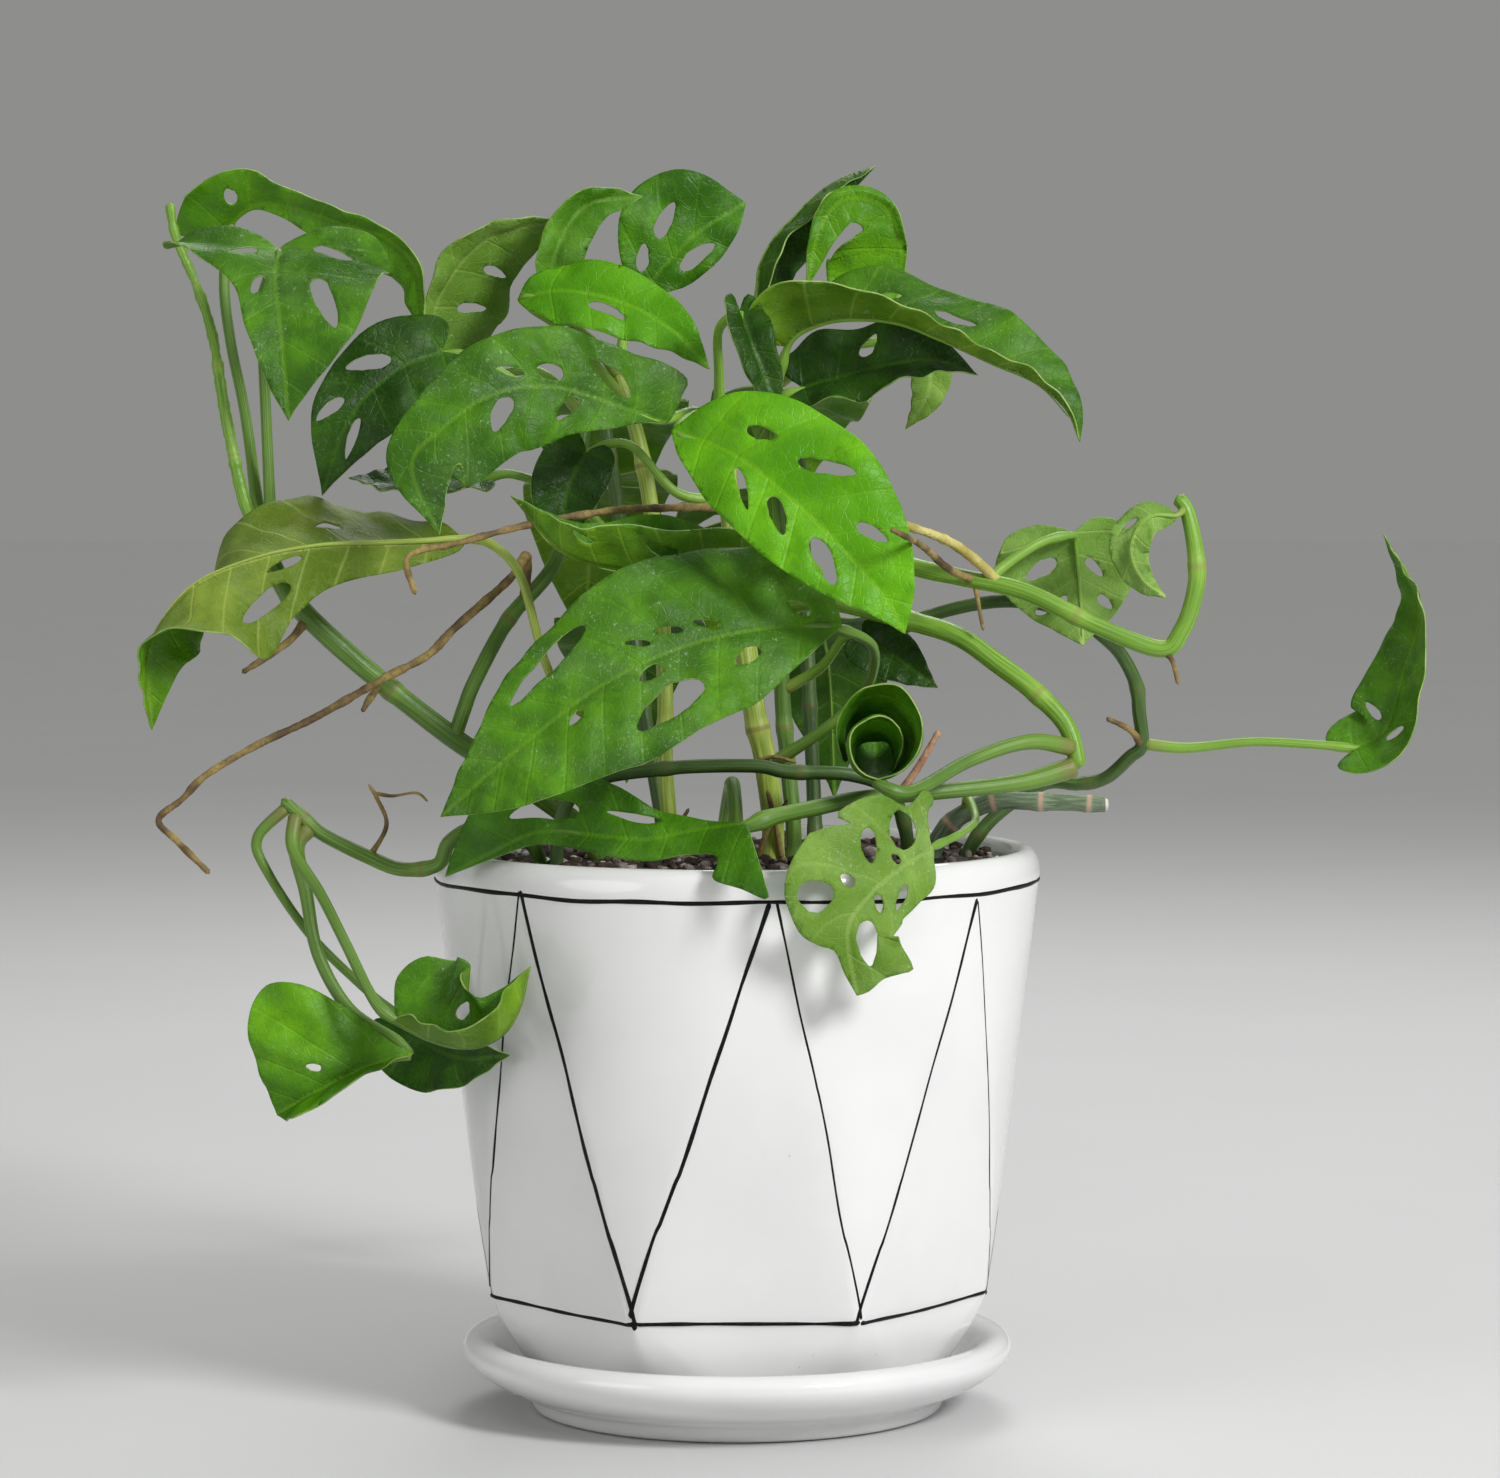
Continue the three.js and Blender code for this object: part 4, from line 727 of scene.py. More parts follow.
RIB_STOPS = (0.02, 0.1, 0.2, 0.35, 0.5, 0.65, 0.8, RIB_END)
RIB_SUNK = 0.35
# How the cord under the midrib thins, and how a stalk thickens in its sheath and its knee.
RIB_SHARE = 0.76
RIB_THINNING = 0.72
THINNEST_RIB = 0.22
KNEE = 0.2
KNEE_LENGTH = 6
SHEATH = 0.35
SHEATH_LENGTH = 20
# Heights of the blade's relief.
QUILT = 0.9
SWAY = 2.2
GROOVE = 0.55
GROOVE_WIDTH = 1.3
RIPPLE = 1.3
PUCKER = 1.5
BLOOM = (0.42, 0.54, 0.34)


def leaf_finish(name, dark, light, vein, dust_amount, gloss, vein_strength):
    material, tree, shader, place = new_finish(name)
    from_rib = worked(tree, "ABSOLUTE", mapped(tree, uv_map="blade")[1])
    from_vein = worked(tree, "PINGPONG", mapped(tree, uv_map="veins")[0])
    rib = ranged(tree, from_rib, 0.003, 0.011, 1.0, 0.0)
    side_vein = ranged(tree, from_vein, 0.0, 0.06, 1.0, 0.0)
    between = ranged(tree, from_vein, 0.05, 0.5)
    patches = clouded(tree, place, 34.0, 4.0)
    net = node(tree, "ShaderNodeTexVoronoi", {"Vector": place, "Scale": 330.0}, feature="DISTANCE_TO_EDGE")
    fine = clouded(tree, place, 1100.0, 4.0)
    veinlet = ranged(tree, net.outputs[0], 0.0, 0.09, 1.0, 0.0)
    mottle = clouded(tree, place, 135.0)
    body = mixed(tree, ranged(tree, patches, 0.3, 0.7), dark, light)
    body = mixed(tree, ranged(tree, mottle, 0.42, 0.72, 0.0, 0.6), body, dark)
    body = mixed(tree, times(tree, between, 0.35), body, dark)
    body = mixed(tree, times(tree, veinlet, 0.07), body, vein)
    body = mixed(tree, times(tree, side_vein, 0.4 * vein_strength), body, vein)
    body = mixed(tree, times(tree, rib, 0.8 * vein_strength), body, vein)
    powder = dusted(tree, place, dust_amount)
    body = mixed(tree, powder, body, BLOOM)
    height = worked(tree, "ADD", times(tree, veinlet, -0.15), times(tree, fine, 0.12))
    height = worked(tree, "ADD", height, times(tree, mottle, 1.2))
    height = worked(tree, "SUBTRACT", height, times(tree, side_vein, 0.3))
    satin = ranged(tree, patches, 0.3, 0.7, gloss, gloss + 0.12)
    rough = worked(tree, "ADD", times(tree, powder, 0.3), satin)
    wire(tree, shader, base_color=body, roughness=rough, normal=bumped(tree, height, 0.5, 0.0012),
         specular_ior_level=0.22)
    return material


def edge_finish():
    material, tree, shader, place = new_finish("leaf_margin")
    patches = clouded(tree, place, 120.0)
    margin = mixed(tree, ranged(tree, patches, 0.35, 0.65), (0.12, 0.24, 0.03), (0.3, 0.42, 0.1))
    wire(tree, shader, base_color=margin, roughness=0.5)
    return material


# The upper face and the underside of each look: dark, light and vein colours, dust, roughness.
LOOKS = {
    "young": [((0.06, 0.24, 0), (0.13, 0.4, 0.001), (0.24, 0.52, 0.01), 0.15, 0.36),
              ((0.1, 0.28, 0.003), (0.18, 0.38, 0.01), (0.3, 0.48, 0.05), 0.1, 0.5)],
    "fresh": [((0.045, 0.17, 0), (0.13, 0.36, 0.001), (0.22, 0.46, 0.01), 0.3, 0.4),
              ((0.09, 0.22, 0.002), (0.17, 0.35, 0.008), (0.3, 0.46, 0.05), 0.25, 0.5)],
    "green": [((0.022, 0.1, 0), (0.085, 0.28, 0.001), (0.17, 0.4, 0.01), 0.25, 0.4),
              ((0.05, 0.16, 0.002), (0.13, 0.28, 0.006), (0.27, 0.42, 0.04), 0.25, 0.5)],
    "dusty": [((0.022, 0.09, 0.001), (0.09, 0.27, 0.003), (0.18, 0.37, 0.02), 0.65, 0.44),
              ((0.05, 0.14, 0.001), (0.15, 0.29, 0.006), (0.28, 0.42, 0.05), 0.4, 0.55)],
    "deep": [((0.007, 0.035, 0), (0.035, 0.125, 0.001), (0.08, 0.22, 0.008), 0.25, 0.4),
             ((0.02, 0.08, 0.001), (0.055, 0.15, 0.004), (0.15, 0.28, 0.03), 0.25, 0.5)],
    "olive": [((0.05, 0.17, 0.001), (0.15, 0.34, 0.004), (0.24, 0.42, 0.03), 0.35, 0.4),
              ((0.09, 0.16, 0.008), (0.22, 0.31, 0.035), (0.42, 0.5, 0.12), 0.35, 0.5)],
    "pale": [((0.09, 0.2, 0.012), (0.2, 0.35, 0.05), (0.38, 0.5, 0.14), 0.95, 0.5),
             ((0.12, 0.25, 0.03), (0.23, 0.4, 0.07), (0.4, 0.54, 0.15), 0.5, 0.5)],
    "sage": [((0.05, 0.17, 0.005), (0.13, 0.32, 0.02), (0.24, 0.42, 0.05), 0.5, 0.45),
             ((0.05, 0.13, 0.014), (0.12, 0.25, 0.03), (0.28, 0.43, 0.1), 0.4, 0.5)],
}
UNDER_VEINS = 0.8
TOP_VEINS = 0.3
LEAF_FINISHES = {look: [leaf_finish(f"{look}_leaf_under", *under, UNDER_VEINS),
                        leaf_finish(f"{look}_leaf_top", *top, TOP_VEINS)]
                 for look, (top, under) in LOOKS.items()}
leaf_margin = edge_finish()


def between_values(values, share):
    # The value at a share of the way along evenly spaced values, eased between each two.
    place = share * (len(values) - 1)
    step = min(int(place), len(values) - 2)
    t = place - step
    return values[step] + (values[step + 1] - values[step]) * t * t * (3 - 2 * t)


def bender(spine, face, widths, roll, fold, curl, wave, tighter):
    # Where a point of the flat blade lies on the grown leaf, raised above its middle by lift.
    def place(reach_along, side, lift):
        share = min(max(reach_along / spine.length, 0), 1)
        heading = spine.heading(share)
        middle = spine.along(share) + heading * (reach_along - share * spine.length)
        flat_across = heading.cross(face).normalized()
        flat_normal = flat_across.cross(heading)
        turn = math.radians(between_values(roll, share))
        across = flat_across * math.cos(turn) + flat_normal * math.sin(turn)
        normal = across.cross(heading)
        half = 0 if side >= 0 else 1
        width = widths[half]
        first = math.radians(fold[half])
        bend = math.radians(curl[half]) / width * (1 + tighter * share)
        reach = abs(side)
        slope = first + bend * reach
        out, rise = reach * math.cos(first), reach * math.sin(first)
        if abs(bend) > 1e-6:
            out = (math.sin(slope) - math.sin(first)) / bend
            rise = (math.cos(first) - math.cos(slope)) / bend
        rise += wave * (reach / width) ** 2 * math.sin(2 * math.pi * WAVES * share + 2 * half + width)
        tilt = slope if reach > 0 else 0
        sign = 1 if side >= 0 else -1
        return (middle + across * sign * (out - lift * math.sin(tilt))
                + normal * (rise + lift * math.cos(tilt)))
    return place


def half_outline(outline, length, width, full, lobe):
    corners = [Vector(((p ** full if p > 0 else p * lobe) * length, q * width, 0))
               for p, q in OUTLINES[outline]]
    edge = Route(corners)
    count = max(20, round(edge.length / BLADE_STEP))
    return [edge.along(i / count) for i in range(count + 1)]


def hole_outline(length, width, sign, hole):
    p, q, long, short, slant = hole
    turn = math.radians(slant)
    points = []
    for i in range(HOLE_POINTS):
        angle = 2 * math.pi * i / HOLE_POINTS
        u = long / 2 * math.cos(angle)
        ragged = 1 + 0.22 * noise.noise(Vector((2 * math.cos(angle), 2 * math.sin(angle), 9 * p + 7 * q)))
        v = short / 2 * math.sin(angle) * (1 - 0.25 * math.cos(angle)) * ragged
        x = p * length + u * math.cos(turn) - v * math.sin(turn)
        y = abs(q) * width + u * math.sin(turn) + v * math.cos(turn)
        points.append(Vector((x, sign * y, 0)))
    return points


def flat_blade(length, widths, outlines, full, lobe, holes):
    plus = half_outline(outlines[0], length, widths[0], full[0], lobe)
    minus = half_outline(outlines[1], length, widths[1], full[1], lobe)
    minus = [Vector((x, -y, 0)) for x, y, _ in minus]
    loops = [plus + minus[-2:0:-1]]
    for hole in holes:
        sign = 1 if hole[1] > 0 else -1
        loops.append(hole_outline(length, widths[0 if sign > 0 else 1], sign, hole))
    shape = bmesh.new()
    for loop in loops:
        corners = [shape.verts.new(point) for point in loop]
        for a, b in zip(corners, corners[1:] + corners[:1]):
            shape.edges.new((a, b))
    bmesh.ops.triangle_fill(shape, use_beauty=True, edges=shape.edges[:], normal=(0, 0, 1))
    for axis in (0, 1):
        low = min(vert.co[axis] for vert in shape.verts)
        high = max(vert.co[axis] for vert in shape.verts)
        normal = Vector((axis == 0, axis == 1, 0))
        for k in range(math.ceil(low / BLADE_STEP), math.ceil(high / BLADE_STEP)):
            geometry = shape.verts[:] + shape.edges[:] + shape.faces[:]
            bmesh.ops.bisect_plane(shape, geom=geometry, dist=FINE_WELD, plane_co=normal * k * BLADE_STEP,
                                   plane_no=normal)
    bmesh.ops.recalc_face_normals(shape, faces=shape.faces[:])
    if sum(face.normal.z for face in shape.faces) < 0:
        bmesh.ops.reverse_faces(shape, faces=shape.faces[:])
    return shape


def vein_start(x, y, length):
    # Where the side vein through a point of the flat blade leaves the midrib.
    return (x - VEIN_LEAN * abs(y)) / (1 + abs(y) / length)


def leaf_relief(x, y, length, width, veins, phase):
    # How far a point is raised by the swell between veins, the sway, the groove of the midrib, the
    # ripple of the margin and the puckers.
    share = min(abs(y) / width, 1)
    swell = 1.1 + 0.9 * noise.noise(Vector((x * 0.05, y * 0.05, phase)))
    between = 0.5 - 0.5 * math.cos(2 * math.pi * vein_start(x, y, length) / length * veins)
    quilt = QUILT * swell * between * math.sin(math.pi * share)
    sway = SWAY * share * noise.noise(Vector((x * 0.04, y * 0.04, phase + 5)))
    groove = -GROOVE * math.exp(-(y / GROOVE_WIDTH) ** 2) * (1 - 0.7 * min(max(x / length, 0), 1))
    ripple = RIPPLE * share ** 3 * noise.noise(Vector((x * 0.07, phase + (y > 0), 0)))
    pucker = PUCKER * share ** 0.5 * noise.noise(Vector((x * 0.11, y * 0.11, phase + 3)))
    return quilt + groove + sway + ripple + pucker


def leaf(name, look, on, stalk, rib, widths, roll, fold=(10, 10), curl=(0, 0), wave=1.0, holes=(),
         outlines=("heart", "heart"), full=(1, 1), lobe=1.0, tighter=0.0, face=VIEWER, radius=1.5,
         placed=False, stem="bright", relief=1.0):
    spine = Route(rib if placed else [seen(*point) for point in rib])
    length = spine.length
    bend = bender(spine, face, widths, roll, fold, curl, wave, tighter)
    shape = flat_blade(length, widths, outlines, full, lobe, holes)
    blade_chart = shape.loops.layers.uv.new("blade")
    vein_chart = shape.loops.layers.uv.new("veins")
    veins = max(5, round(length / VEIN_SPACING))
    for face_here in shape.faces:
        for loop in face_here.loops:
            x, y, _ = loop.vert.co
            loop[blade_chart].uv = (x / 100, y / 100)
            loop[vein_chart].uv = (vein_start(x, y, length) / length * veins, 0)
    phase = random.Random(name).uniform(0, 9)
    for vert in shape.verts:
        x, y, _ = vert.co
        width = widths[0 if y >= 0 else 1]
        vert.co = bend(x, y, leaf_relief(x, y, length, width, veins, phase) * relief)
    blade = add_piece(f"{name}_blade", shape, [*LEAF_FINISHES[look], leaf_margin],
                      name)
    wall = blade.modifiers.new("thickness", "SOLIDIFY")
    wall.thickness = BLADE_THICKNESS * MM
    wall.offset = 0
    wall.material_offset = 1
    wall.material_offset_rim = 2

    def rib_radius(share):
        return max(THINNEST_RIB, radius * (RIB_SHARE - RIB_THINNING * min(share, 1) ** 0.6))

    middle = stalk if placed else [seen(*point) for point in stalk]
    under = [bend(length * share, 0, -RIB_SUNK - rib_radius(share)) for share in RIB_STOPS]
    stalk_route = Route([on_vine(on), *middle, *under])
    free = stalk_route.length - length * RIB_LENGTH

    def radius_at(reach):
        if reach < free:
            knee = KNEE * math.exp(-((free - reach - KNEE_LENGTH) / 4) ** 2)
            sheath = SHEATH * math.exp(-(reach / SHEATH_LENGTH) ** 2)
            narrowing = min(1, (free - reach) / KNEE_LENGTH)
            return radius * (1 + knee + sheath) * narrowing + rib_radius(0) * (1 - narrowing)
        return rib_radius((reach - free) / (length * RIB_LENGTH) * RIB_END)

    cord = bmesh.new()
    tube(cord, stalk_route, radius_at, sides=10, step=1.6, spacing=400.0)
    add_piece(f"{name}_stalk", closed(cord), [STEM_FINISHES[stem]])


# Leaves of the two vines on the left.
leaf("leaf_top_left", "dusty", on=("vine_left", 0.9), stalk=[(-157, 346, -14), (-158, 368, -16)],
     radius=1.8, rib=[(-152, 387, -30), (-153, 376, -44), (-151, 356, -54), (-149, 330, -58)],
     widths=(37, 37), outlines=("lobed", "heart"), roll=(0, 0), fold=(16, 10), curl=(-24, -20), wave=3,
     full=(1.3, 1.3), holes=[(0.08, 0.3, 10, 5, 60), (0.3, 0.16, 8, 4, 30), (0.1, -0.5, 16, 5, 56),
     (0.45, -0.42, 18, 6, 15)], stem="green")
leaf("leaf_far_left", "fresh", on=("vine_left", 0.97), stalk=[(-163, 330, 0), (-168, 356, 10),
     (-170, 376, 18)], radius=1.8, rib=[(-169, 393, 23), (-160, 401, 18), (-146, 400, 12), (-131, 395, 6),
     (-116, 390, 2), (-106, 379, -2), (-104, 357, -4)], widths=(10, 19), outlines=("oval", "lobed"),
     roll=(-20, -45), full=(0.5, 1.35), holes=[(0.1, -0.4, 6, 3, 80)], stem="green")
leaf("leaf_left_long", "olive", on=("stem_centre_left", 0.36), stalk=[(-55, 235, -18), (-64, 250, -30),
     (-72, 278, -36), (-82, 289, -40)], rib=[(-90, 290, -42), (-112, 289, -50), (-140, 288, -58),
     (-163, 283, -64), (-183, 273, -68), (-196, 253, -70), (-195, 227, -66)], widths=(30, 34),
     outlines=("late", "oval"), roll=(138, 140, 145, 140, 95, 45, 20), fold=(38, 28), wave=3,
     full=(1, 1.3), holes=[(0.3, -0.42, 9, 4, -10), (0.43, 0.13, 13, 2.6, 10), (0.5, 0.48, 23, 6, 17)],
     stem="yellow")
leaf("leaf_left_dark", "deep", on=("vine_left_inner", 0.86), stalk=[(-66, 336, -2), (-86, 350, -8)],
     rib=[(-98, 353, -11), (-114, 346, -16), (-129, 330, -22), (-138, 305, -22)], widths=(17, 18),
     roll=(-15, -5), curl=(-15, -15), wave=1.5, holes=[(0.33, 0.45, 14, 5, 35), (0.6, 0.42, 10, 3.5, 25),
     (0.68, -0.2, 15, 3, 5)])
leaf("leaf_left_thin", "deep", on=("stem_centre_left", 0.62), stalk=[(-50, 300, -4), (-74, 312, -10)],
     rib=[(-86, 310, -12), (-100, 310, -16), (-114, 309, -18), (-129, 311, -18)], widths=(16, 16),
     roll=(-72, -68), fold=(8, 8))
leaf("leaf_left_arch", "pale", on=("vine_left_inner", 0.98), stalk=[(-66, 346, 12), (-92, 344, 12)],
     rib=[(-104, 354, 10), (-97, 374, 10), (-82, 390, 12), (-56, 397, 14)], widths=(27, 9),
     outlines=("heart", "oval"), roll=(-48, -40), fold=(8, 12), wave=1.5, holes=[(0.28, 0.5, 13, 5, 55),
     (0.55, 0.45, 11, 4, 55)])

# Leaves of the centre stems.
leaf("leaf_top_folded", "sage", on=("stem_centre_left", 0.99), stalk=[(-48, 356, 8)], rib=[(-63, 368, 4),
     (-60, 386, 4), (-50, 401, 6), (-31, 404, 9)], widths=(10, 8), outlines=OVAL,
     roll=(-20, -10), fold=(35, 25))
leaf("leaf_top_holed", "green", on=("stem_centre_left", 0.97), stalk=[(-38, 356, 22)], rib=[(-34, 368, 26),
     (-25, 380, 26), (-13, 392, 28), (3, 402, 32)], widths=(12, 25), outlines=OVAL,
     roll=(0, 0), fold=(12, 8), curl=(-10, -10), wave=2.5, full=(0.7, 0.7),
     holes=[(0.52, -0.42, 12, 5, 25), (0.52, 0.48, 16, 5, 5), (0.27, -0.3, 9, 4, 35)])
leaf("leaf_top_bright", "young", on=("stem_centre_left", 0.93), stalk=[(-56, 358, 4)], rib=[(-73, 370, -4),
     (-58, 373, -10), (-38, 369, -14), (-22, 360, -18), (-9, 347, -20)], widths=(14, 12),
     outlines=OVAL, roll=(30, 20), curl=(-10, -10), wave=2, holes=[(0.46, 0.36, 15, 4, 5)])
leaf("leaf_middle_holed", "dusty", on=("stem_centre", 0.98), stalk=[(-14, 333, -24)], rib=[(-23, 329, -40),
     (-40, 335, -50), (-60, 341, -60), (-80, 339, -68), (-97, 328, -74), (-108, 315, -76),
     (-99, 292, -78)], widths=(20, 22), outlines=("heart", "oval"), lobe=0.2, roll=(-18, -12), fold=(8, 8),
     curl=(-20, -20), wave=3, full=(1, 0.62), holes=[(0.2, 0.4, 19, 6, 24), (0.36, 0.24, 9, 5, 10),
     (0.46, 0.28, 9, 3.2, 20), (0.53, -0.34, 16, 6, 32), (0.31, -0.3, 12, 4.5, 45)])
leaf("leaf_round_dark", "deep", on=("stem_centre", 0.85), stalk=[(-20, 306, -12), (-36, 322, -12)],
     rib=[(-50, 320, -14), (-56, 308, -20), (-58, 294, -24), (-56, 284, -24)], widths=(13, 12),
     roll=(0, 0), fold=(14, 14))
leaf("leaf_lime", "young", on=("stem_centre", 0.95), stalk=[(-8, 332, -26), (-16, 331, -46)],
     rib=[(-22, 327, -62), (0, 318, -76), (21, 301, -86), (38, 284, -92), (49, 271, -95), (56, 259, -96)],
     widths=(20, 29), outlines=OVAL, roll=(16, 10), fold=(8, 8), curl=(-14, -14), wave=2,
     full=(0.9, 0.9), holes=[(0.27, -0.37, 9, 4, 24), (0.34, 0.4, 17, 3, 33), (0.48, 0.36, 14, 5, 30),
     (0.48, -0.52, 19, 4.7, 28), (0.68, 0.36, 17, 6, 18), (0.71, -0.36, 11, 4.2, 18)])
leaf("leaf_trough", "green", on=("stem_centre", 0.8), stalk=[(14, 288, -16), (27, 280, -20)],
     rib=[(23, 275, -26), (0, 276, -40), (-28, 279, -52), (-56, 285, -60), (-75, 305, -60)],
     widths=(19, 20), outlines=OVAL, roll=(-50, -50), fold=(30, 96), wave=2,
     holes=[(0.5, -0.5, 12, 5, 15), (0.76, -0.45, 10, 2.5, 10)])
leaf("leaf_largest", "dusty", on=("stem_centre", 0.33), stalk=[(30, 228, -22), (43, 241, -26),
     (45, 255, -52)], radius=1.7, rib=[(35, 262, -74), (10, 261, -80), (-20, 254, -88), (-48, 240, -96),
     (-76, 218, -99), (-99, 198, -94)], widths=(33, 31), outlines=OVAL, roll=(-30, -26),
     fold=(7, 7), curl=(-14, -10), wave=3, full=(1.35, 0.85), holes=[(0.29, 0.16, 9, 3, 25),
     (0.37, 0.21, 9, 2.5, 23), (0.44, 0.2, 8, 2.3, 28), (0.45, -0.16, 9, 4.8, 8), (0.45, -0.57, 29, 10, 8),
     (0.23, -0.3, 11, 4.7, 26), (0.09, 0.18, 8, 3.9, 36), (0.64, -0.15, 6, 3.2, 16),
     (0.62, 0.5, 34, 6, -14)], stem="green")
leaf("leaf_strap", "deep", on=("stem_centre", 0.99), stalk=[(-6, 345, -14), (-6, 360, -26)],
     rib=[(1, 367, -38), (5, 355, -47), (10, 342, -48), (14, 328, -50)], widths=(9, 8), roll=(30, 20),
     fold=(30, 30))

# Leaves of the right-hand vines, one of them still rolled up.
leaf("leaf_rolled", "green", on=("vine_arching", 0.93), radius=2.2, stalk=[(97, 223, -54), (78, 217, -66),
     (62, 208, -84), (54, 206, -91)], rib=[(47, 211, -91), (46, 210.5, -76), (46, 214, -62),
     (46, 224, -54)], widths=(60, 42), roll=(0, 0), fold=(0, 0), curl=(230, 240), tighter=0.9, wave=0,
     face=UP, stem="green", relief=0.9)
leaf("leaf_inner_dark", "deep", on=("stem_centre_right", 0.5), stalk=[(28, 248, 4), (36, 258, -4)],
     rib=[(42, 258, -8), (52, 252, -14), (60, 246, -18), (67, 241, -20)], widths=(11, 9), roll=(15, 10),
     wave=0.8)
leaf("leaf_far_right", "dusty", on=("vine_low_loop", 0.432), stalk=[(150, 221, 0), (172, 223, -4),
     (194, 222, -8)], rib=[(206, 221, -10), (216, 227, -12), (222, 246, -12), (227, 268, -8),
     (215, 292, -2)], widths=(17, 15), roll=(50, 78), fold=(16, 16), wave=1.2,
     holes=[(0.16, 0.45, 8, 3.5, 55), (0.2, -0.45, 8, 3.5, 55)])
leaf("leaf_right_pale", "pale", on=("vine_bright", 0.34), stalk=[(85, 278, -27), (100, 289, -21)],
     rib=[(112, 293, -14), (113, 284, -12), (114, 271, -12), (115, 255, -16)], widths=(19, 27),
     roll=(180, 180), fold=(8, 8), curl=(-10, -10), wave=1.5, full=(0.9, 0.9),
     holes=[(0.31, -0.45, 12, 5, 62), (0.33, 0.3, 8, 3, 40), (0.66, -0.47, 5, 3, 65),
     (0.6, -0.22, 5, 2.4, 40), (0.62, 0.45, 6, 3, 45)])
leaf("leaf_vine_tip", "pale", on=("vine_bright", 0.93), stalk=(), radius=1, rib=[(147, 298, -45),
     (136, 297, -47), (131, 287, -48), (135, 277, -49), (143, 271, -48)], widths=(6, 8),
     outlines=OVAL, roll=(150, 165), fold=(12, 12), wave=0.8, holes=[(0.36, -0.5, 6, 2.4, 20)])
leaf("leaf_rim", "green", on=("vine_arching", 0.99), radius=2.6, stalk=[(94, 209.5, -50), (63, 206, -60),
     (41, 204, -70), (26, 201, -80), (12, 198, -91)], rib=[(3, 196, -97), (-14, 193.5, -89),
     (-30, 190.5, -85), (-44, 191.5, -80), (-58, 193, -72), (-68, 192.5, -70), (-80, 187, -68),
     (-97.5, 178, -60)], widths=(20, 30), outlines=("oval", "hung"), roll=(-46, -36, -12, -10, -20, -30),
     fold=(4, 8), curl=(-10, -35), full=(0.5, 1), holes=[(0.64, 0.36, 20, 6, 2), (0.36, 0.34, 20, 2.6, 6)],
     stem="green", relief=0.6)
leaf("leaf_skeletal", "pale", on=("vine_cut", 0.42), radius=1.3, stalk=[(77, 204, -14), (79.5, 197.5, -30),
     (77, 194, -50), (72, 191, -70)], rib=[(66, 188, -86), (55, 181, -98), (45, 172.5, -106),
     (37, 160, -111), (40, 138, -110)], widths=(28, 20), outlines=("torn", "ragged"), roll=(14, 5),
     fold=(4, 4), curl=(-10, -10), wave=1.5, holes=[(0.18, 0.38, 13, 9, 92), (0.36, 0.44, 11, 4.6, -72),
     (0.27, 0.13, 5, 2.6, 60), (0.52, 0.31, 5.4, 4, 72), (0.625, 0.5, 11, 5.2, 86),
     (0.35, -0.38, 10.4, 2.8, 24), (0.48, -0.2, 6, 3.2, 50), (0.73, -0.3, 20, 6.5, 0)])

# Leaves at the top right.
leaf("leaf_top_upright", "deep", on=("stem_centre_right", 0.97), stalk=[(8, 356, 8)], rib=[(7, 368, 12),
     (9, 384, 14), (19, 397, 16), (31, 408, 18), (46, 414, 20)], widths=(13, 9), outlines=OVAL,
     roll=(-20, -20), fold=(14, 100), wave=1.5, full=(1.2, 1.2))
leaf("leaf_top_open", "fresh", on=("stem_centre_right", 0.99), stalk=[(24, 352, 6), (47, 361, 10)],
     rib=[(55, 374, 10), (54, 389, 8), (48, 401, 6), (35, 403, 4), (27, 392, 3), (23, 374, 2)],
     widths=(4, 25), outlines=("oval", "lobed"), roll=(8, 8), fold=(8, 8), full=(0.7, 0.85))
leaf("leaf_right_long", "dusty", on=("stem_centre_right", 0.94), stalk=[(14, 345, -8)],
     rib=[(15, 355, -16), (24, 361.5, -20), (43, 364.5, -26), (61, 360, -31), (80, 351, -36),
     (97, 344, -39), (109, 334, -41), (114, 323, -40)], widths=(25, 21), outlines=("lobed", "oval"),
     roll=(50, 40), fold=(74, 12), wave=2.5, full=(1, 0.9), lobe=0.3, holes=[(0.5, -0.45, 14, 3.4, 5),
     (0.32, -0.42, 6, 2.6, 25)])
leaf("leaf_right_under", "deep", on=("stem_centre_right", 0.9), stalk=[(16, 338, -4)], rib=[(22, 341, -6),
     (44, 347, -8), (64, 350, -12), (80, 345, -14)], widths=(12, 16), roll=(34, 30), fold=(14, 14),
     curl=(10, 10), wave=3, holes=[(0.4, -0.5, 9, 4, 45)])
leaf("leaf_right_hanging", "pale", on=("stem_centre_right", 0.96), stalk=[(30, 352, 14), (48, 356, 14)],
     rib=[(60, 354, 12), (64, 346, 10), (63, 338, 8), (56, 327, 8)], widths=(8, 7), roll=(20, 20))
leaf("leaf_right_small", "pale", on=("stem_centre_right", 0.84), stalk=[(16, 333, 12)], rib=[(20, 339, 11),
     (19, 335, 9), (21, 329, 8), (28, 322, 7)], widths=(4, 16), outlines=OVAL, roll=(175, 175),
     wave=0.5)

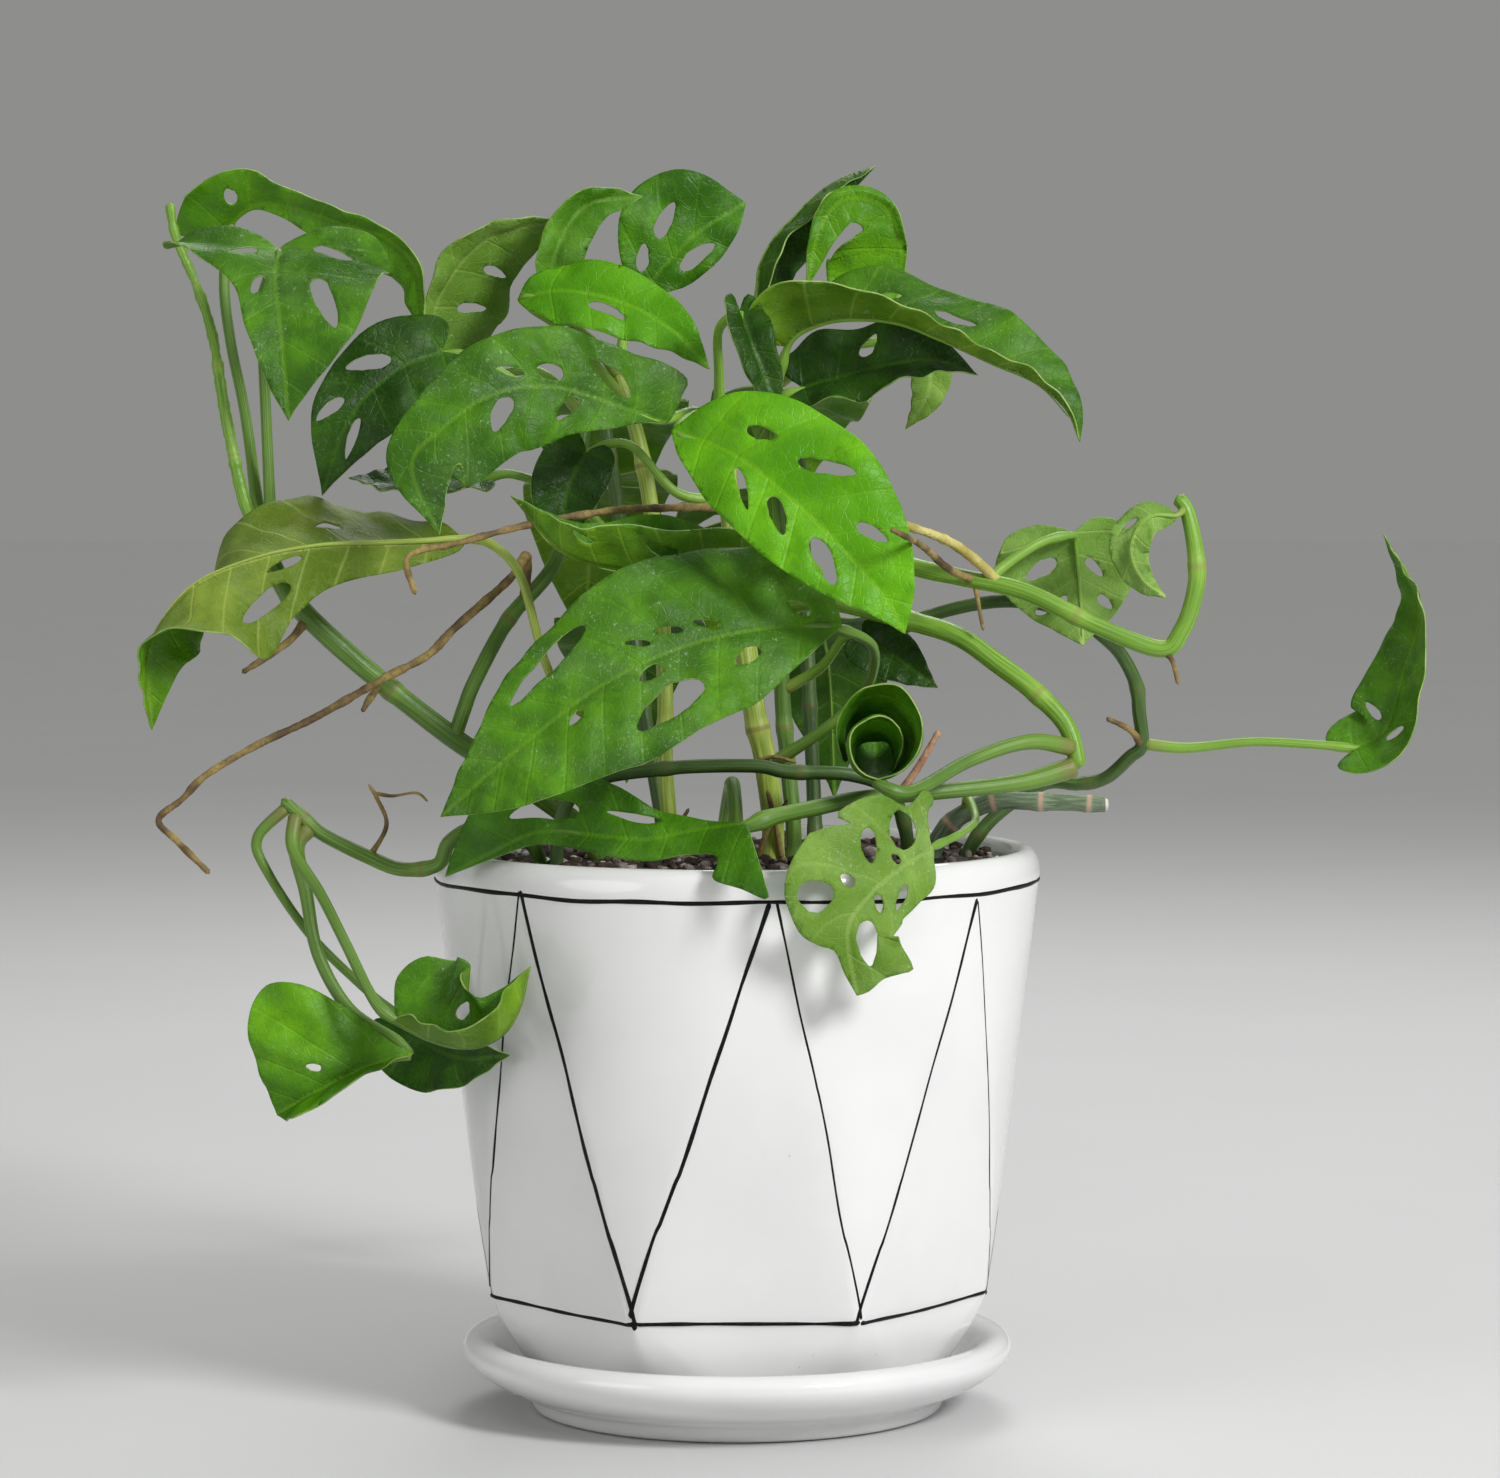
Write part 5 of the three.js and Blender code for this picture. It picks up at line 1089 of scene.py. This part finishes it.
# Leaves that hang low on the left.
leaf("leaf_low_shell", "fresh", on=("vine_trailing", 0.86), radius=2.1, stalk=[(-147, 188, -38),
     (-144, 173, -40), (-140, 152, -46), (-130, 134, -52), (-116, 124, -56)], rib=[(-108, 119, -60),
     (-124, 114, -65), (-140, 106, -67), (-154, 98, -62)], widths=(38, 12), outlines=OVAL,
     roll=(-16, -8), fold=(10, 60), curl=(-10, 0), wave=2, full=(0.5, 0.5),
     holes=[(0.62, 0.2, 5, 2.4, 40)], stem="green")
leaf("leaf_low_cup", "dusty", on=("vine_trailing", 0.94), radius=1.8, stalk=[(-148, 187, -42),
     (-139, 172, -54), (-131, 156, -66), (-121, 136, -78)], rib=[(-114, 130, -80), (-101, 123, -86),
     (-87, 121, -92), (-75, 129, -96), (-69, 148, -92)], widths=(19, 27), outlines=("oval", "heart"),
     roll=(20, 30), fold=(92, 12), curl=(0, 10), wave=2, holes=[(0.4, -0.45, 12, 5, 20)], stem="green")
leaf("leaf_low_dark", "deep", on=("vine_trailing", 0.97), stalk=[(-160, 191, -34), (-157, 180, -34),
     (-143, 159, -34), (-125, 141, -26)], rib=[(-113, 131, -26), (-104, 122, -40), (-92, 117, -56),
     (-76, 118, -67)], widths=(16, 14), roll=(10, 10), stem="green")

# ----------------------------------------
# The leaves of the far side: they arch away from the middle and droop. Each grows on a back vine,
# towards a heading, with its own length, half-width and drop.

BACK_STALK = 26
BACK_LIFT = 22
BACK_ARCH = [(0, 0), (0.3, 0.06), (0.58, 0.34), (0.74, 1)]
BACK_HOLES = [(0.3, 0.45, 16, 6, 48), (0.46, -0.45, 17, 6, 44)]
BACK_LEAVES = [
    ("vine_back_left", 0.98, 92, 112, 30, 0.5, "green"),
    ("vine_back_left", 0.82, 98, 100, 27, 0.62, "dusty"),
    ("vine_back_left", 0.56, 93, 112, 27, 0.55, "deep"),
    ("vine_back_right", 0.98, 92, 108, 29, 0.42, "green"),
    ("vine_back_right", 0.78, 108, 96, 26, 0.6, "dusty"),
    ("vine_back_right", 0.56, 84, 110, 27, 0.6, "deep"),
    ("vine_back_trailing", 0.8, 50, 84, 23, 0.75, "green"),
    ("vine_back_trailing", 0.97, 112, 88, 24, 0.85, "green"),
]


def back_leaf(number, vine_name, share, heading, length, width, drop, look):
    start = on_vine((vine_name, share))
    out = Vector((math.cos(math.radians(heading)), math.sin(math.radians(heading)), 0))
    lift = BACK_LIFT * (1 - drop)
    ribs = [start + out * (BACK_STALK + length * reach) + UP * (lift - length * drop * fall)
            for reach, fall in BACK_ARCH]
    stalk = [start + out * BACK_STALK * 0.5 + UP * lift * 0.7]
    leaf(f"leaf_back_{number}", look, on=(vine_name, share), stalk=stalk, rib=ribs, widths=(width, width),
         roll=(0, 0), fold=(12, 12), curl=(-26, -26), wave=2, face=UP, holes=BACK_HOLES, placed=True)


for number, row in enumerate(BACK_LEAVES, 1):
    back_leaf(number, *row)

# ----------------------------------------
# The studio: a plain pale floor, a soft light from the front right, weaker ones from the left, from
# behind and from above, and a low pale sky. The camera stands in front, above the pot's lip.

CAMERA_PLACE = Vector((0, -VIEW_DISTANCE * MM, VIEW_HEIGHT * MM))
CAMERA_AIM = Vector((0.0043, 0, 0.224))
VIEW_WIDTH = 0.5
SENSOR_WIDTH = 36
# Each disk light: its name, place, width and energy.
LIGHTS = [
    ("key", (1.35, -1.5, 1.35), 0.6, 44),
    ("fill", (-1.8, -1.4, 0.7), 1.4, 9),
    ("back", (0.2, 1.4, 1.6), 1.0, 14),
]
LIGHT_AIM = (0, 0, 0.22)
SUN_PLACE = (0.4, -0.5, 2)
SUN_ENERGY = 0.5
SUN_SPREAD = 1.4
SKY_COLOUR = (0.82, 0.82, 0.8, 1)
SKY_STRENGTH = 0.33
FLOOR_RADIUS = 14


def aimed(place, aim):
    return (Vector(aim) - Vector(place)).to_track_quat("-Z", "Y").to_euler()


def floor_finish():
    material, tree, shader, place = new_finish("pale_floor")
    clouds = clouded(tree, place, 6.0)
    wire(tree, shader, base_color=mixed(tree, clouds, (0.6, 0.6, 0.6), (0.63, 0.63, 0.63)), roughness=0.8)
    return material


floor_shape = bmesh.new()
bmesh.ops.create_circle(floor_shape, cap_ends=True, segments=96, radius=FLOOR_RADIUS)
floor_mesh = bpy.data.meshes.new("floor")
floor_shape.to_mesh(floor_mesh)
floor_shape.free()
floor_mesh.materials.append(floor_finish())
floor = set_in_scene("floor", floor_mesh)

for name, place, size, energy in LIGHTS:
    lamp = bpy.data.lights.new(name, "AREA")
    lamp.shape = "DISK"
    lamp.size = size
    lamp.energy = energy
    light = set_in_scene(name, lamp)
    light.location = place
    light.rotation_euler = aimed(place, LIGHT_AIM)

sun = bpy.data.lights.new("overhead", "SUN")
sun.energy = SUN_ENERGY
sun.angle = SUN_SPREAD
set_in_scene("overhead", sun).rotation_euler = aimed(SUN_PLACE, (0, 0, 0))

world = bpy.data.worlds.new("studio")
world.use_nodes = True
sky = world.node_tree.nodes["Background"].inputs
sky["Color"].default_value = SKY_COLOUR
sky["Strength"].default_value = SKY_STRENGTH
bpy.context.scene.world = world
bpy.context.scene.view_settings.view_transform = "Standard"

lens = bpy.data.cameras.new("camera")
lens.sensor_width = SENSOR_WIDTH
lens.lens = SENSOR_WIDTH * (CAMERA_AIM - CAMERA_PLACE).length / VIEW_WIDTH
camera = set_in_scene("camera", lens)
camera.location = CAMERA_PLACE
camera.rotation_euler = aimed(CAMERA_PLACE, CAMERA_AIM)
bpy.context.scene.camera = camera
